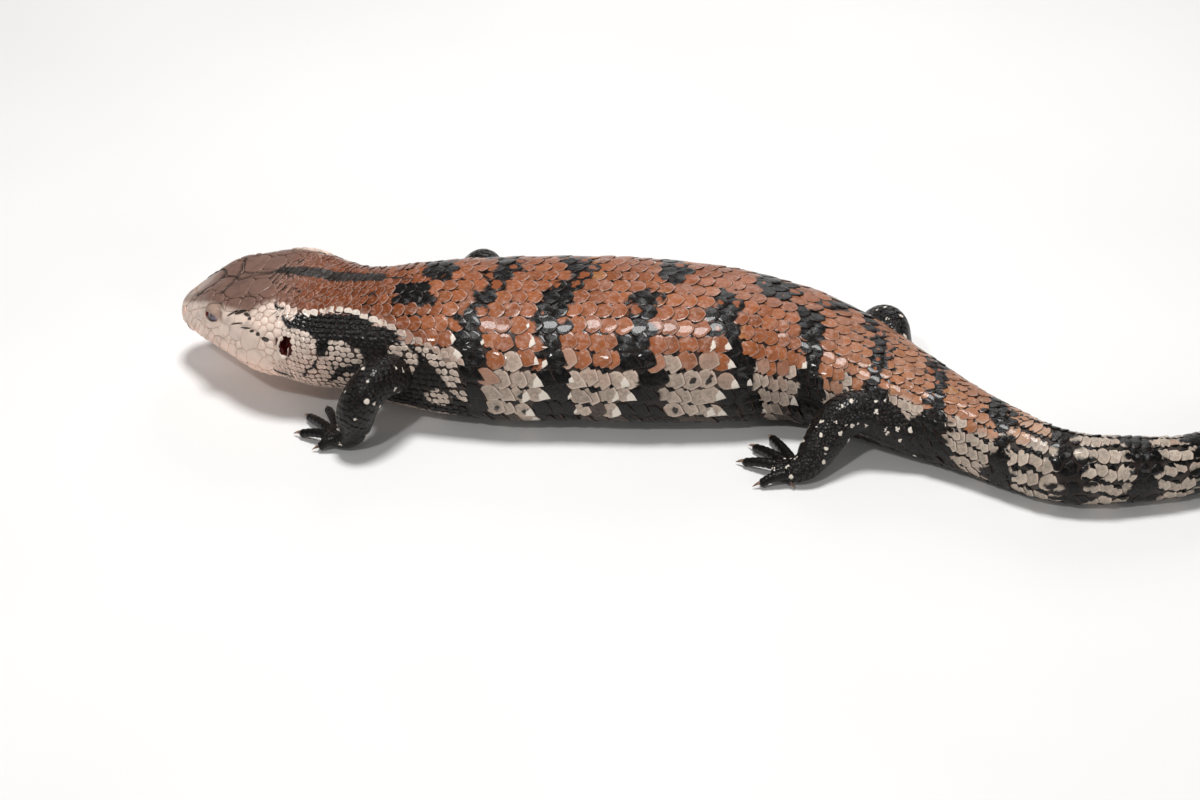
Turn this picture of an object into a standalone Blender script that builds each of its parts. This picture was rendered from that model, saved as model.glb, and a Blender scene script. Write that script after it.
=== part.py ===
# Blue-tongued skink, life size, resting on its belly with its head raised.
# Metres, +Z up, floor at Z = 0. +X runs from the head to the tail and -Y is the animal's left side.

import math
from bisect import bisect

import bmesh
import bpy
import numpy as np
from mathutils import Matrix, Vector

MM = 0.001
GAP = 0.3 * MM

# Where the snout's tip is, which way the spine runs from it, and how it bends: length, then turn in degrees.
SNOUT = (-223.5 * MM, 32.3 * MM)
HEAD_YAW = -16.5
SPINE_BENDS = (
    (58, 0),
    (46, 19.5),
    (100, -8),
    (80, -35),
    (42, 3),
    (52, 44),
    (40, 31),
    (79, 10),
)
SPINE_STEP = 0.5

# The head is rolled a little to the left about its own length, and the roll fades along the neck.
HEAD_ROLL = 4.0
ROLL_HEIGHT = 26.0
ROLL_FADES = (62.0, 112.0)

# Body sections: distance from the snout, half width, lowest and highest height, height of the widest line,
# then the roundness of the upper and lower halves (2 is an ellipse, more is boxier).
SECTIONS = (
    (0.0, 1.2, 20.3, 22.8, 21.6, 2.0, 2.0),
    (1.2, 5.1, 17.8, 25.9, 21.4, 2.1, 2.0),
    (4.5, 8.8, 15.3, 28.8, 21.2, 2.4, 2.1),
    (10.0, 12.2, 13.7, 33.4, 22.1, 2.8, 2.2),
    (18.0, 17.3, 12.9, 38.4, 23.8, 3.0, 2.3),
    (27.0, 22.2, 12.2, 40.6, 24.4, 3.1, 2.4),
    (36.0, 26.8, 11.6, 43.0, 25.0, 3.1, 2.4),
    (45.0, 28.8, 10.8, 44.4, 25.4, 3.1, 2.4),
    (54.0, 29.0, 9.0, 43.2, 24.4, 3.0, 2.4),
    (62.0, 28.8, 6.6, 41.4, 23.0, 2.9, 2.3),
    (70.0, 27.2, 5.2, 42.6, 22.9, 2.7, 2.3),
    (80.0, 27.7, 3.4, 44.6, 22.7, 2.5, 2.4),
    (92.0, 31.3, 1.0, 46.0, 21.8, 2.3, 2.5),
    (106.0, 34.8, -0.7, 46.8, 20.5, 2.2, 2.7),
    (135.0, 39.6, -0.9, 45.8, 19.1, 2.2, 2.8),
    (170.0, 39.7, -0.9, 46.1, 19.0, 2.2, 2.8),
    (205.0, 36.9, -0.9, 45.5, 18.7, 2.2, 2.8),
    (235.0, 31.3, -0.8, 41.3, 17.2, 2.2, 2.7),
    (258.0, 26.7, -0.7, 36.5, 15.8, 2.2, 2.6),
    (280.0, 22.6, -0.5, 32.9, 14.7, 2.1, 2.4),
    (300.0, 18.3, -0.4, 30.2, 13.9, 2.1, 2.3),
    (325.0, 14.4, -0.3, 27.4, 13.0, 2.1, 2.2),
    (360.0, 12.8, -0.2, 24.9, 12.1, 2.0, 2.1),
    (400.0, 10.7, -0.2, 20.8, 10.1, 2.0, 2.1),
    (435.0, 8.5, -0.2, 16.8, 8.2, 2.0, 2.1),
    (465.0, 5.8, -0.1, 11.5, 5.6, 2.0, 2.1),
    (487.0, 3.2, -0.1, 6.4, 3.1, 2.0, 2.0),
    (495.0, 1.7, -0.1, 3.4, 1.6, 2.0, 2.0),
    (497.0, 0.5, 0.4, 1.4, 0.9, 2.0, 2.0),
)

# Where the body is parted: node name, the stretch of spine it holds, and the spacing of its rings.
BODY_NODES = (
    ("head", 0.0, 60.0, 2.9),
    ("neck", 60.0, 88.0, 4.7),
    ("torso", 88.0, 246.0, 8.0),
    ("hips", 246.0, 292.0, 7.0),
    ("tail_base", 292.0, 352.0, 7.5),
    ("tail_middle", 352.0, 424.0, 8.0),
    ("tail_end", 424.0, 497.0, 7.0),
)
BODY_SIDES = 30
HEAD_SIDES = 38

# Mouth line: the height of the slit at the snout and at its corner, how far back it runs, the groove's
# size, and the least share of the head's height that lies below it at the snout's tip.
MOUTH_FRONT_Z = 18.2
MOUTH_CORNER_Z = 20.6
MOUTH_CORNER_S = 38.0
MOUTH_DEPTH = 0.9
MOUTH_HALF_HEIGHT = 0.75
MOUTH_LEAST_SHARE = 0.2
# The lips keep within this share of the room above and below the slit, and the groove fades out over its
# last stretch. It is pressed in by its whole depth only this far from the middle of the head or more.
LIP_ROOM_SHARE = 0.3
MOUTH_FADE = 3.0
GROOVE_FULL_AT = 6.0

# Eye: distance from the snout, height, ball radius, how far its centre lies inside the skin, the lid around
# it, the opening's half sizes and how far out it lies, its slant, and the room between ball and socket.
EYE_S = 22.0
EYE_Z = 33.8
EYE_RADIUS = 3.7
EYE_SINK = 2.7
LID_RADIUS = 4.8
EYE_OPENING = (4.1, 2.1, 5.0)
EYE_OPENING_OUT = 4.0
EYE_SLANT = 8.0
EYE_GAP = 0.3
EYE_SIDES = 18
OPENING_SIDES = 16

# Soft swellings of the head: distance from the snout, sideways and height, then the half sizes and the push.
BROW = ((22.0, 14.5, 37.5), (8.5, 6.0, 5.0), 1.4)
JOWL = ((47.0, 26.0, 23.0), (12.0, 9.0, 10.0), 0.9)
CHEEK_DIP = ((31.0, 24.0, 30.0), (7.0, 6.0, 6.0), -0.6)
FOREHEAD_DIP = ((22.0, 0.0, 41.0), (14.0, 6.0, 6.0), -0.5)

# Head shields: distance from the snout, sideways distance over the crown, and how far each one holds off its
# neighbours. Those off the middle line come in pairs. Soft skin around them is laid out by the last two rows.
SHIELDS = (
    (9.6, 0.0, 4.4),
    (23.5, 0.0, 5.6),
    (38.4, 0.0, 3.2),
    (5.4, 7.4, 3.6),
    (15.4, 5.2, 4.4),
    (12.2, 12.8, 3.8),
    (18.6, 11.8, 3.8),
    (23.4, 12.2, 4.0),
    (28.2, 11.8, 3.8),
    (32.2, 5.6, 4.4),
    (41.6, 8.4, 5.6),
    (33.6, 16.6, 4.4),
    (41.4, 20.6, 4.6),
    (50.2, 5.4, 4.4),
    (50.0, 14.6, 4.4),
)
BARE_SPOTS = ((56.5, 0.0), (56.8, 8.5), (57.0, 17.5), (50.0, 25.0), (44.0, 31.0), (36.0, 28.0), (28.0, 22.5))
BARE_SPOTS_FRONT = ((21.0, 21.0), (14.0, 21.5), (7.5, 17.5), (2.5, 13.0), (1.2, 0.0), (0.5, 6.0))
BARE_HOLD = 4.0
SHIELD_SEAM = 0.35
SHIELD_RISE = 0.45
SHIELD_ROOT = 0.9
SHIELD_SIDE = 4.5
# A shield's rings from its root to its top, as the share of its outline and the height, then its two middles.
SHIELD_ROWS = ((1.0, -SHIELD_ROOT), (0.97, 0.7 * SHIELD_RISE), (0.7, 1.1 * SHIELD_RISE))
SHIELD_TOP = 1.15 * SHIELD_RISE
SHIELD_BOTTOM = -1.6 * SHIELD_ROOT
# Sides shorter than this become one point. Corners are cut by this length, up to a share of the side.
SHIELD_LEAST_SIDE = 0.6
SHIELD_CORNER = 0.8
SHIELD_CORNER_SHARE = 0.22
# The field that the shields are cut from, and the steps that measure the crown's surface.
CROWN_FIELD = [(-3.0, -40.0), (62.0, -40.0), (62.0, 40.0), (-3.0, 40.0)]
CROWN_STEP = math.pi / 90
CROWN_LEAST_S = 0.4
SURFACE_STEP = 0.3
SURFACE_LEAST_S = 0.1

EAR_S = 54.5
EAR_Z = 33.0
EAR_HALF = (1.6, 3.2, 3.4)
EAR_SINK = 0.4
EAR_SIDES = 14
NOSTRIL_S = 3.2
NOSTRIL_Z = 23.4
NOSTRIL_RADIUS = 0.75
NOSTRIL_DEPTH = 1.6
NOSTRIL_SIDES = 8
# The head's first rings, the least room before its last one, and the steps that find the way its skin faces.
SNOUT_RINGS = (0.0, 1.2, 2.8)
LAST_RING_ROOM = 3.0
FACING_STEP = 1.0
FACING_TURN = 0.1

# Legs: joints from the root to the knuckles as X, Y and Z in the spine's drawing frame, with the radii there.
DRAWN_SNOUT = (-161.1, 25.3)
LEGS = {
    "foreleg_left": {
        "joints": ((-70, -14, 20), (-87, -44, 32), (-91.5, -38, 4.2), (-100, -35, 3.6)),
        "radii": (8.6, 7.6, 5.6, 5.0),
        "bends": (11.0, 5.5),
    },
    "foreleg_right": {
        "joints": ((-64, 16, 18), (-42, 50, 30), (-54, 52, 4.2), (-62, 56, 3.6)),
        "radii": (8.6, 7.6, 5.6, 5.0),
        "bends": (8.0, 5.5),
    },
    "hindleg_left": {
        "joints": ((120, -46, 10.6), (90, -42, 21.5), (74, -59, 4.6), (65, -56, 3.8)),
        "radii": (9.2, 8.2, 6.0, 5.2),
        "bends": (12.0, 7.0),
    },
    "hindleg_right": {
        "joints": ((110, -20, 11.5), (111, 12, 25), (98, 24, 4.6), (94, 34, 3.8)),
        "radii": (9.0, 7.2, 5.6, 5.2),
        "bends": (9.0, 6.0),
    },
}
# The stretch of body that each pair of legs is cut clear of, and the spacing of the cutter's rings.
ROOT_REACH = {"fore": (64.0, 150.0), "hind": (220.0, 350.0)}
CUTTER_STEP = 4.0
LEG_SIDES = 16
LEG_RING_STEP = 3.4
PALM_HALF_WIDTH = {"fore": 6.0, "hind": 6.6}
PALM_HALF_HEIGHT = 2.9
# Along a leg, whole numbers are its joints. A bend takes up this much on both sides of its joint, the palm
# flattens over the stretch given, and the foot begins just before the ankle.
BEND_SHARE = 0.15
PALM_FROM = 1.75
PALM_OVER = 0.6
ELBOW_AT = 1.0
ANKLE_AT = 1.9
LEAST_PART = 0.25
LEG_LOWEST = 0.5
CUTTER_EXTRA = 0.1

# Toes: tips in the drawing frame, from the inner toe to the outer one, with the base radius.
TOES = {
    "foreleg_left": (((-96, -18), (-103, -16), (-110, -21), (-112, -32), (-104, -41)), 2.1),
    "foreleg_right": (((-75, 42), (-84, 46), (-87, 53), (-84, 62), (-73, 66)), 2.1),
    "hindleg_left": (((63.5, -34.5), (56.5, -40.5), (52, -50), (57.5, -63.5), (69, -63)), 2.3),
    "hindleg_right": (((84, 29), (80, 39), (84, 50), (98, 49), (107, 37)), 2.3),
}
TOE_SIDES = 8
TOE_ROOT_Z = 4.4
TOE_ARCH = 0.9
TOE_TIP_RADIUS = 1.55
TOE_ROOT_IN = 3.0
TOE_ROOT_FAN = (0.4, 0.9)
TOE_STEPS = 5
TOE_END_SHARE = 0.62
TOE_TIP_LIFT = 0.1
CLAW_LENGTH = 3.6
CLAW_RADIUS = 0.85
CLAW_POINT = 0.12
CLAW_TAPER = 0.7
CLAW_FLAT = 0.8
CLAW_IN = 0.32
CLAW_HEIGHT = 0.75
CLAW_DROP = 1.5
CLAW_STEPS = 3
CLAW_SIDES = 5

SHARP_ANGLE = 42
MERGE_DISTANCE = 0.005 * MM

SKIN_RUST = ("skin_rust", (0.36, 0.13, 0.06), 0.38)
SKIN_PALE = ("skin_pale", (0.56, 0.42, 0.36), 0.42)
SKIN_BLACK = ("skin_black", (0.018, 0.016, 0.015), 0.32)
EYE_GREY = ("eye_grey", (0.10, 0.09, 0.12), 0.08)


def clear_scene():
    for item in list(bpy.data.objects):
        bpy.data.objects.remove(item, do_unlink=True)


def material(name, colour, roughness):
    made = bpy.data.materials.get(name) or bpy.data.materials.new(name)
    made.use_nodes = True
    shader = made.node_tree.nodes["Principled BSDF"]
    shader.inputs["Base Color"].default_value = (*colour, 1.0)
    shader.inputs["Roughness"].default_value = roughness
    shader.inputs["Metallic"].default_value = 0.0
    return made


def smooth_curve(stations, column):
    """A function of s through one column of the stations, with no overshoot between them."""
    at = [row[0] for row in stations]
    value = [row[column] for row in stations]
    step = [b - a for a, b in zip(at, at[1:])]
    slope = [(b - a) / width for a, b, width in zip(value, value[1:], step)]
    tangent = [slope[0]]
    for i in range(1, len(at) - 1):
        left = 2 * step[i] + step[i - 1]
        right = step[i] + 2 * step[i - 1]
        level = slope[i - 1] * slope[i] <= 0
        tangent.append(0.0 if level else (left + right) / (left / slope[i - 1] + right / slope[i]))
    tangent.append(slope[-1])

    def value_at(s):
        i = min(max(bisect(at, s) - 1, 0), len(step) - 1)
        t = (s - at[i]) / step[i]
        return (
            value[i] * (1 + 2 * t) * (1 - t) ** 2
            + value[i + 1] * t * t * (3 - 2 * t)
            + tangent[i] * step[i] * t * (1 - t) ** 2
            - tangent[i + 1] * step[i] * t * t * (1 - t)
        )

    return value_at


HALF_WIDTH, LOWEST, HIGHEST, WIDEST = (smooth_curve(SECTIONS, k) for k in range(1, 5))
ROUND_ABOVE, ROUND_BELOW = (smooth_curve(SECTIONS, k) for k in (5, 6))


def walk_spine():
    """X, Y and heading every SPINE_STEP along the bends, each bend easing in and out."""
    x, y = SNOUT[0] / MM, SNOUT[1] / MM
    heading = math.radians(HEAD_YAW)
    rows = [(x, y, heading)]
    for length, turn in SPINE_BENDS:
        steps = round(length / SPINE_STEP)
        for i in range(steps):
            ease = 1 - math.cos(2 * math.pi * (i + 0.5) / steps)
            heading += math.radians(turn) * ease / steps
            x += math.cos(heading) * SPINE_STEP
            y += math.sin(heading) * SPINE_STEP
            rows.append((x, y, heading))
    return rows


SPINE = walk_spine()


def spine_at(s):
    """The point in plan and the heading of the spine at s millimetres from the snout."""
    place = min(max(s / SPINE_STEP, 0.0), len(SPINE) - 1.001)
    i = int(place)
    return tuple(a + (b - a) * (place - i) for a, b in zip(SPINE[i], SPINE[i + 1]))


def ease(value, start, end):
    t = min(max((value - start) / (end - start), 0.0), 1.0)
    return t * t * (3 - 2 * t)


def on_spine(s, sideways, z):
    """World point of a place on the body. Sideways is positive on the animal's left."""
    x, y, heading = spine_at(s)
    roll = math.radians(HEAD_ROLL) * (1 - ease(s, *ROLL_FADES))
    rise = z - ROLL_HEIGHT
    z = ROLL_HEIGHT + rise * math.cos(roll) - sideways * math.sin(roll)
    sideways = sideways * math.cos(roll) + rise * math.sin(roll)
    return Vector((x + math.sin(heading) * sideways, y - math.cos(heading) * sideways, z)) * MM


def power(value, exponent):
    return math.copysign(abs(value) ** exponent, value)


def section_point(s, angle):
    """Sideways and height of the body's outline at s. The angle runs from the back, round the left side."""
    widest = WIDEST(s)
    above = math.cos(angle) > 0
    roundness = ROUND_ABOVE(s) if above else ROUND_BELOW(s)
    reach = HIGHEST(s) - widest if above else widest - LOWEST(s)
    sideways = HALF_WIDTH(s) * power(math.sin(angle), 2 / roundness)
    return sideways, widest + reach * power(math.cos(angle), 2 / roundness)


def swelling(s, sideways, z, bump):
    (at_s, at_side, at_z), (long, wide, tall), push = bump
    near = ((s - at_s) / long) ** 2 + ((abs(sideways) - at_side) / wide) ** 2 + ((z - at_z) / tall) ** 2
    return push * math.exp(-near)


def mouth_height(s):
    """Height of the slit between the lips."""
    t = min(max(s / MOUTH_CORNER_S, 0.0), 1.0)
    slit = MOUTH_FRONT_Z + (MOUTH_CORNER_Z - MOUTH_FRONT_Z) * t**3
    return max(slit, LOWEST(s) + MOUTH_LEAST_SHARE * (HIGHEST(s) - LOWEST(s)))


def angle_at_height(s, z):
    """The outline's angle on the left side where it has this height."""
    low, high = 0.0, math.pi
    for _ in range(30):
        middle = (low + high) / 2
        if section_point(s, middle)[1] > z:
            low = middle
        else:
            high = middle
    return (low + high) / 2


def head_angles(s):
    """Angles round the head, with three of them on the upper lip, the slit and the lower lip of each side."""
    slit = mouth_height(s)
    room = min(MOUTH_HALF_HEIGHT, LIP_ROOM_SHARE * (HIGHEST(s) - slit), LIP_ROOM_SHARE * (slit - LOWEST(s)))
    lips = [angle_at_height(s, slit + offset) for offset in (room, 0.0, -room)]
    above = HEAD_SIDES // 4 + 3
    below = HEAD_SIDES // 2 - above - 2
    left = [lips[0] * i / above for i in range(above)]
    left += lips
    left += [lips[2] + (math.pi - lips[2]) * i / below for i in range(1, below + 1)]
    return left + [2 * math.pi - a for a in reversed(left[1:-1])], above + 1


def body_angles():
    return [2 * math.pi * i / BODY_SIDES for i in range(BODY_SIDES)]


def body_ring(s, grow=0.0):
    """World points round the body at s, kept on or above the floor unless the ring is grown."""
    ring = []
    for angle in body_angles():
        sideways, z = section_point(s, angle)
        out = Vector((sideways, z - WIDEST(s)))
        out *= 1 + grow / max(out.length, 1.0)
        place = on_spine(s, out.x, WIDEST(s) + out.y)
        if not grow:
            place.z = max(place.z, 0.0)
        ring.append(place)
    return ring


def head_section_point(s, angle, sunk=0.0):
    """Sideways and height of the head's outline at s, with its swellings, pressed in by the depth given."""
    sideways, z = section_point(s, angle)
    centre_z = WIDEST(s)
    out = Vector((sideways, z - centre_z))
    push = sum(swelling(s, sideways, z, bump) for bump in (BROW, JOWL, CHEEK_DIP, FOREHEAD_DIP))
    push -= sunk * min(1.0, out.length / GROOVE_FULL_AT)
    moved = out * (1 + push / max(out.length, 1.0))
    return moved.x, centre_z + moved.y


def head_ring(s):
    """World points round the head at s, with the groove of the mouth."""
    angles, slit_index = head_angles(s)
    depth = MOUTH_DEPTH * min(1.0, max(0.0, (MOUTH_CORNER_S - s) / MOUTH_FADE))
    ring = []
    for i, angle in enumerate(angles):
        in_slit = i in (slit_index, len(angles) - slit_index)
        ring.append(on_spine(s, *head_section_point(s, angle, depth if in_slit else 0.0)))
    return ring


def crown_point(s, sideways):
    """World point at an arc distance sideways from the middle line over the crown."""
    side = 1 if sideways >= 0 else -1
    here, passed, angle = head_section_point(s, 0.0), 0.0, 0.0
    while angle < math.pi:
        there = head_section_point(s, angle + CROWN_STEP)
        length = math.dist(here, there)
        if passed + length >= abs(sideways):
            share = (abs(sideways) - passed) / length
            here = tuple(a + (b - a) * share for a, b in zip(here, there))
            break
        here, passed, angle = there, passed + length, angle + CROWN_STEP
    return on_spine(s, side * here[0], here[1])


def raised_point(s, sideways, lift):
    """A crown point moved out of the skin by lift."""
    s = max(s, CROWN_LEAST_S)
    here = crown_point(s, sideways)
    behind, before = s + SURFACE_STEP, max(s - SURFACE_STEP, SURFACE_LEAST_S)
    along = crown_point(behind, sideways) - crown_point(before, sideways)
    across = crown_point(s, sideways + SURFACE_STEP) - crown_point(s, sideways - SURFACE_STEP)
    return here + across.cross(along).normalized() * lift * MM


def shield_seeds():
    """Every shield's place as (s, sideways, hold), pairs on both sides, then the soft skin's places."""
    built, bare = [], []
    for s, sideways, hold in SHIELDS:
        built.append((s, sideways, hold))
        if sideways:
            built.append((s, -sideways, hold))
    for s, sideways in BARE_SPOTS + BARE_SPOTS_FRONT:
        bare.append((s, sideways, BARE_HOLD))
        if sideways:
            bare.append((s, -sideways, BARE_HOLD))
    return built, bare


def clip(outline, seed, other):
    """The part of a flat outline that is nearer to seed than to other, each holding its own ground."""
    normal = (other[0] - seed[0], other[1] - seed[1])
    limit = (other[0] ** 2 + other[1] ** 2 - other[2] ** 2 - seed[0] ** 2 - seed[1] ** 2 + seed[2] ** 2) / 2
    limit -= SHIELD_SEAM / 2 * math.hypot(*normal)
    kept = []
    for a, b in zip(outline, outline[1:] + outline[:1]):
        da = a[0] * normal[0] + a[1] * normal[1] - limit
        db = b[0] * normal[0] + b[1] * normal[1] - limit
        if da <= 0:
            kept.append(a)
        if da * db < 0:
            share = da / (da - db)
            kept.append((a[0] + (b[0] - a[0]) * share, a[1] + (b[1] - a[1]) * share))
    return kept


def rounded_outline(outline):
    """The outline with its corners cut and its long sides divided."""
    points = []
    for a, b in zip(outline, outline[1:] + outline[:1]):
        length = math.dist(a, b)
        if length < SHIELD_LEAST_SIDE:
            points.append(tuple((x + y) / 2 for x, y in zip(a, b)))
            continue
        corner = min(SHIELD_CORNER_SHARE, SHIELD_CORNER / length)
        parts = max(1, round(length * (1 - 2 * corner) / SHIELD_SIDE))
        for i in range(parts + 1):
            share = corner + (1 - 2 * corner) * i / parts
            points.append((a[0] + (b[0] - a[0]) * share, a[1] + (b[1] - a[1]) * share))
    return points


def shield(name, outline):
    """A low plate with a rounded edge, its root sunk into the head."""
    centre = tuple(sum(p[k] for p in outline) / len(outline) for k in (0, 1))

    def inside(share):
        return [tuple(c + (p - c) * share for p, c in zip(point, centre)) for point in outline]

    bm = bmesh.new()
    loops = [[bm.verts.new(raised_point(*p, lift)) for p in inside(share)] for share, lift in SHIELD_ROWS]
    top = bm.verts.new(raised_point(*centre, SHIELD_TOP))
    bottom = bm.verts.new(raised_point(*centre, SHIELD_BOTTOM))
    count = len(outline)
    for i in range(count):
        j = (i + 1) % count
        for low, high in zip(loops, loops[1:]):
            bm.faces.new((low[i], low[j], high[j], high[i]))
        bm.faces.new((loops[-1][i], loops[-1][j], top))
        bm.faces.new((loops[0][j], loops[0][i], bottom))
    bm.normal_update()
    bmesh.ops.recalc_face_normals(bm, faces=bm.faces)
    bmesh.ops.triangulate(bm, faces=bm.faces)
    return finish(name, bm, SKIN_PALE)


def make_shields():
    built, bare = shield_seeds()
    plates = []
    for i, seed in enumerate(built):
        outline = CROWN_FIELD
        for other in built + bare:
            if other is not seed:
                outline = clip(outline, seed, other)
        plates.append(shield(f"shield_{i}", rounded_outline(outline)))
    return plates


def loft(name, rings, paint):
    """One closed mesh object through rings of equal length, with flat ends."""
    count = len(rings[0])
    bm = bmesh.new()
    loops = [[bm.verts.new(p) for p in ring] for ring in rings]
    for before, after in zip(loops, loops[1:]):
        for i in range(count):
            j = (i + 1) % count
            bm.faces.new((before[i], before[j], after[j], after[i]))
    bm.faces.new(loops[0])
    bm.faces.new(list(reversed(loops[-1])))
    bm.normal_update()
    bmesh.ops.recalc_face_normals(bm, faces=bm.faces)
    bmesh.ops.triangulate(bm, faces=[f for f in bm.faces if len(f.verts) > 4])
    return finish(name, bm, paint)


def finish(name, bm, paint):
    mesh = bpy.data.meshes.new(name)
    bm.to_mesh(mesh)
    bm.free()
    made = bpy.data.objects.new(name, mesh)
    bpy.context.scene.collection.objects.link(made)
    made.data.materials.append(material(*paint))
    smooth(made)
    return made


def smooth(made):
    made.data.shade_smooth()
    made.data.set_sharp_from_angle(angle=math.radians(SHARP_ANGLE))


def ball(name, centre, half_sizes, axes, sides=20):
    """A stretched sphere: its half sizes lie along the three axes given."""
    bm = bmesh.new()
    bmesh.ops.create_uvsphere(bm, u_segments=sides, v_segments=sides // 2, radius=1.0)
    first = axes[0] if axes[0].cross(axes[1]).dot(axes[2]) > 0 else -axes[0]
    turn = Matrix([first, axes[1], axes[2]]).transposed().to_4x4()
    size = Matrix.Diagonal((*half_sizes, 1.0))
    bm.transform(Matrix.Translation(centre) @ turn @ size)
    return finish(name, bm, SKIN_PALE)


def apply_modifiers(made):
    graph = bpy.context.evaluated_depsgraph_get()
    mesh = bpy.data.meshes.new_from_object(made.evaluated_get(graph))
    made.modifiers.clear()
    old = made.data
    made.data = mesh
    bpy.data.meshes.remove(old)


def combine(made, others, operation, solver="EXACT"):
    """One Boolean of made with a collection of closed objects, which are then removed."""
    group = bpy.data.collections.new(made.name + "_" + operation.lower())
    for other in others:
        group.objects.link(other)
    change = made.modifiers.new(operation.lower(), "BOOLEAN")
    change.operation = operation
    change.operand_type = "COLLECTION"
    change.collection = group
    change.solver = solver
    apply_modifiers(made)
    for other in list(others):
        bpy.data.objects.remove(other, do_unlink=True)
    bpy.data.collections.remove(group)
    keep_largest(made)
    smooth(made)
    return made


def keep_largest(made):
    """Drops every loose scrap that a Boolean left beside the main closed surface."""
    bm = bmesh.new()
    bm.from_mesh(made.data)
    bmesh.ops.remove_doubles(bm, verts=bm.verts, dist=MERGE_DISTANCE)
    left, islands = set(bm.verts), []
    while left:
        start = left.pop()
        island, edge = {start}, [start]
        while edge:
            for link in edge.pop().link_edges:
                for vert in link.verts:
                    if vert in left:
                        left.discard(vert)
                        island.add(vert)
                        edge.append(vert)
        islands.append(island)
    largest = max(islands, key=len)
    bmesh.ops.delete(bm, geom=[v for v in bm.verts if v not in largest], context="VERTS")
    bm.to_mesh(made.data)
    bm.free()


def surface_frame(s, z, side):
    """Point on the head's skin at s and height z, with its forward, upward and outward directions."""
    angle = angle_at_height(s, z)
    sideways, height = section_point(s, angle)
    here = on_spine(s, side * sideways, height)
    ahead = on_spine(s - FACING_STEP, side * section_point(s - FACING_STEP, angle)[0], height)
    up_side, up_z = section_point(s, angle - FACING_TURN)
    above = on_spine(s, side * up_side, up_z)
    forward = (ahead - here).normalized()
    up = above - here
    up = (up - forward * up.dot(forward)).normalized()
    out = forward.cross(up) * (-side)
    if out.dot(here - on_spine(s, 0.0, height)) < 0:
        out = -out
    return here, forward, up, out.normalized()


def make_head():
    head_length = BODY_NODES[0][2]
    s_values = list(SNOUT_RINGS)
    while s_values[-1] < head_length - LAST_RING_ROOM:
        s_values.append(s_values[-1] + BODY_NODES[0][3])
    s_values.append(head_length - GAP / MM / 2)
    head = loft("head", [head_ring(s) for s in s_values], SKIN_PALE)
    lids, cutters, eyes = [], [], []
    for side, word in ((1, "left"), (-1, "right")):
        here, forward, up, out = surface_frame(EYE_S, EYE_Z, side)
        centre = here - out * EYE_SINK * MM
        slant = Matrix.Rotation(math.radians(-EYE_SLANT) * side, 3, out)
        along, across = slant @ forward, slant @ up
        axes = (along, across, out)
        lids.append(ball("lid_" + word, centre, (LID_RADIUS * MM,) * 3, axes, EYE_SIDES))
        cutters.append(ball("socket_" + word, centre, ((EYE_RADIUS + EYE_GAP) * MM,) * 3, axes, EYE_SIDES))
        opening = tuple(size * MM for size in EYE_OPENING)
        before_eye = centre + out * EYE_OPENING_OUT * MM
        cutters.append(ball("opening_" + word, before_eye, opening, axes, OPENING_SIDES))
        eye = ball("eye_" + word, centre, (EYE_RADIUS * MM,) * 3, axes, EYE_SIDES)
        eye.data.materials.clear()
        eye.data.materials.append(material(*EYE_GREY))
        eyes.append(eye)
        here, forward, up, out = surface_frame(EAR_S, EAR_Z, side)
        ear = tuple(size * MM for size in EAR_HALF)
        cutters.append(ball("ear_" + word, here - out * EAR_SINK * MM, ear, (forward, up, out), EAR_SIDES))
        here, forward, up, out = surface_frame(NOSTRIL_S, NOSTRIL_Z, side)
        size = (NOSTRIL_RADIUS * MM, NOSTRIL_RADIUS * MM, NOSTRIL_DEPTH * MM)
        cutters.append(ball("nostril_" + word, here, size, (forward, up, out), NOSTRIL_SIDES))
    combine(head, lids + make_shields(), "UNION")
    combine(head, cutters, "DIFFERENCE")
    return head, eyes


def make_body():
    """The lofted lengths of the body behind the head, each parted from the next by the gap."""
    half_gap = GAP / MM / 2
    for name, start, end, step in BODY_NODES[1:]:
        count = max(2, round((end - start) / step))
        last = end if end == BODY_NODES[-1][2] else end - half_gap
        values = np.linspace(start + half_gap, last, count + 1)
        paint = SKIN_PALE if name == "neck" else SKIN_RUST
        loft(name, [body_ring(s) for s in values], paint)


def drawn(point):
    """A point of the drawing frame, moved to the part's frame, still in millimetres."""
    shift = (SNOUT[0] / MM - DRAWN_SNOUT[0], SNOUT[1] / MM - DRAWN_SNOUT[1])
    height = point[2] if len(point) > 2 else 0.0
    return Vector((point[0] + shift[0], point[1] + shift[1], height))


def rounded_path(joints, bends, step):
    """Points along straight runs with arcs of the given radii between them, and how far along each one is."""
    points, shares = [], []

    def add(a, b, start, end):
        count = max(1, round((b - a).length / step))
        for i in range(count):
            points.append(a.lerp(b, i / count))
            shares.append(start + (end - start) * i / count)

    here, share = joints[0], 0.0
    for k, radius in enumerate(bends, start=1):
        before = (joints[k] - joints[k - 1]).normalized()
        after = (joints[k + 1] - joints[k]).normalized()
        turn = before.angle(after)
        tangent = radius * math.tan(turn / 2)
        enter, leave = joints[k] - before * tangent, joints[k] + after * tangent
        add(here, enter, share, k - BEND_SHARE)
        centre = enter + (after - before * before.dot(after)).normalized() * radius
        axis = before.cross(after).normalized()
        arc_steps = max(3, round(radius * turn / step))
        for i in range(arc_steps):
            turned = Matrix.Rotation(turn * i / arc_steps, 3, axis) @ (enter - centre)
            points.append(centre + turned)
            shares.append(k - BEND_SHARE + 2 * BEND_SHARE * i / arc_steps)
        here, share = leave, k + BEND_SHARE
    add(here, joints[-1], share, len(joints) - 1)
    points.append(joints[-1])
    shares.append(float(len(joints) - 1))
    return points, shares


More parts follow.
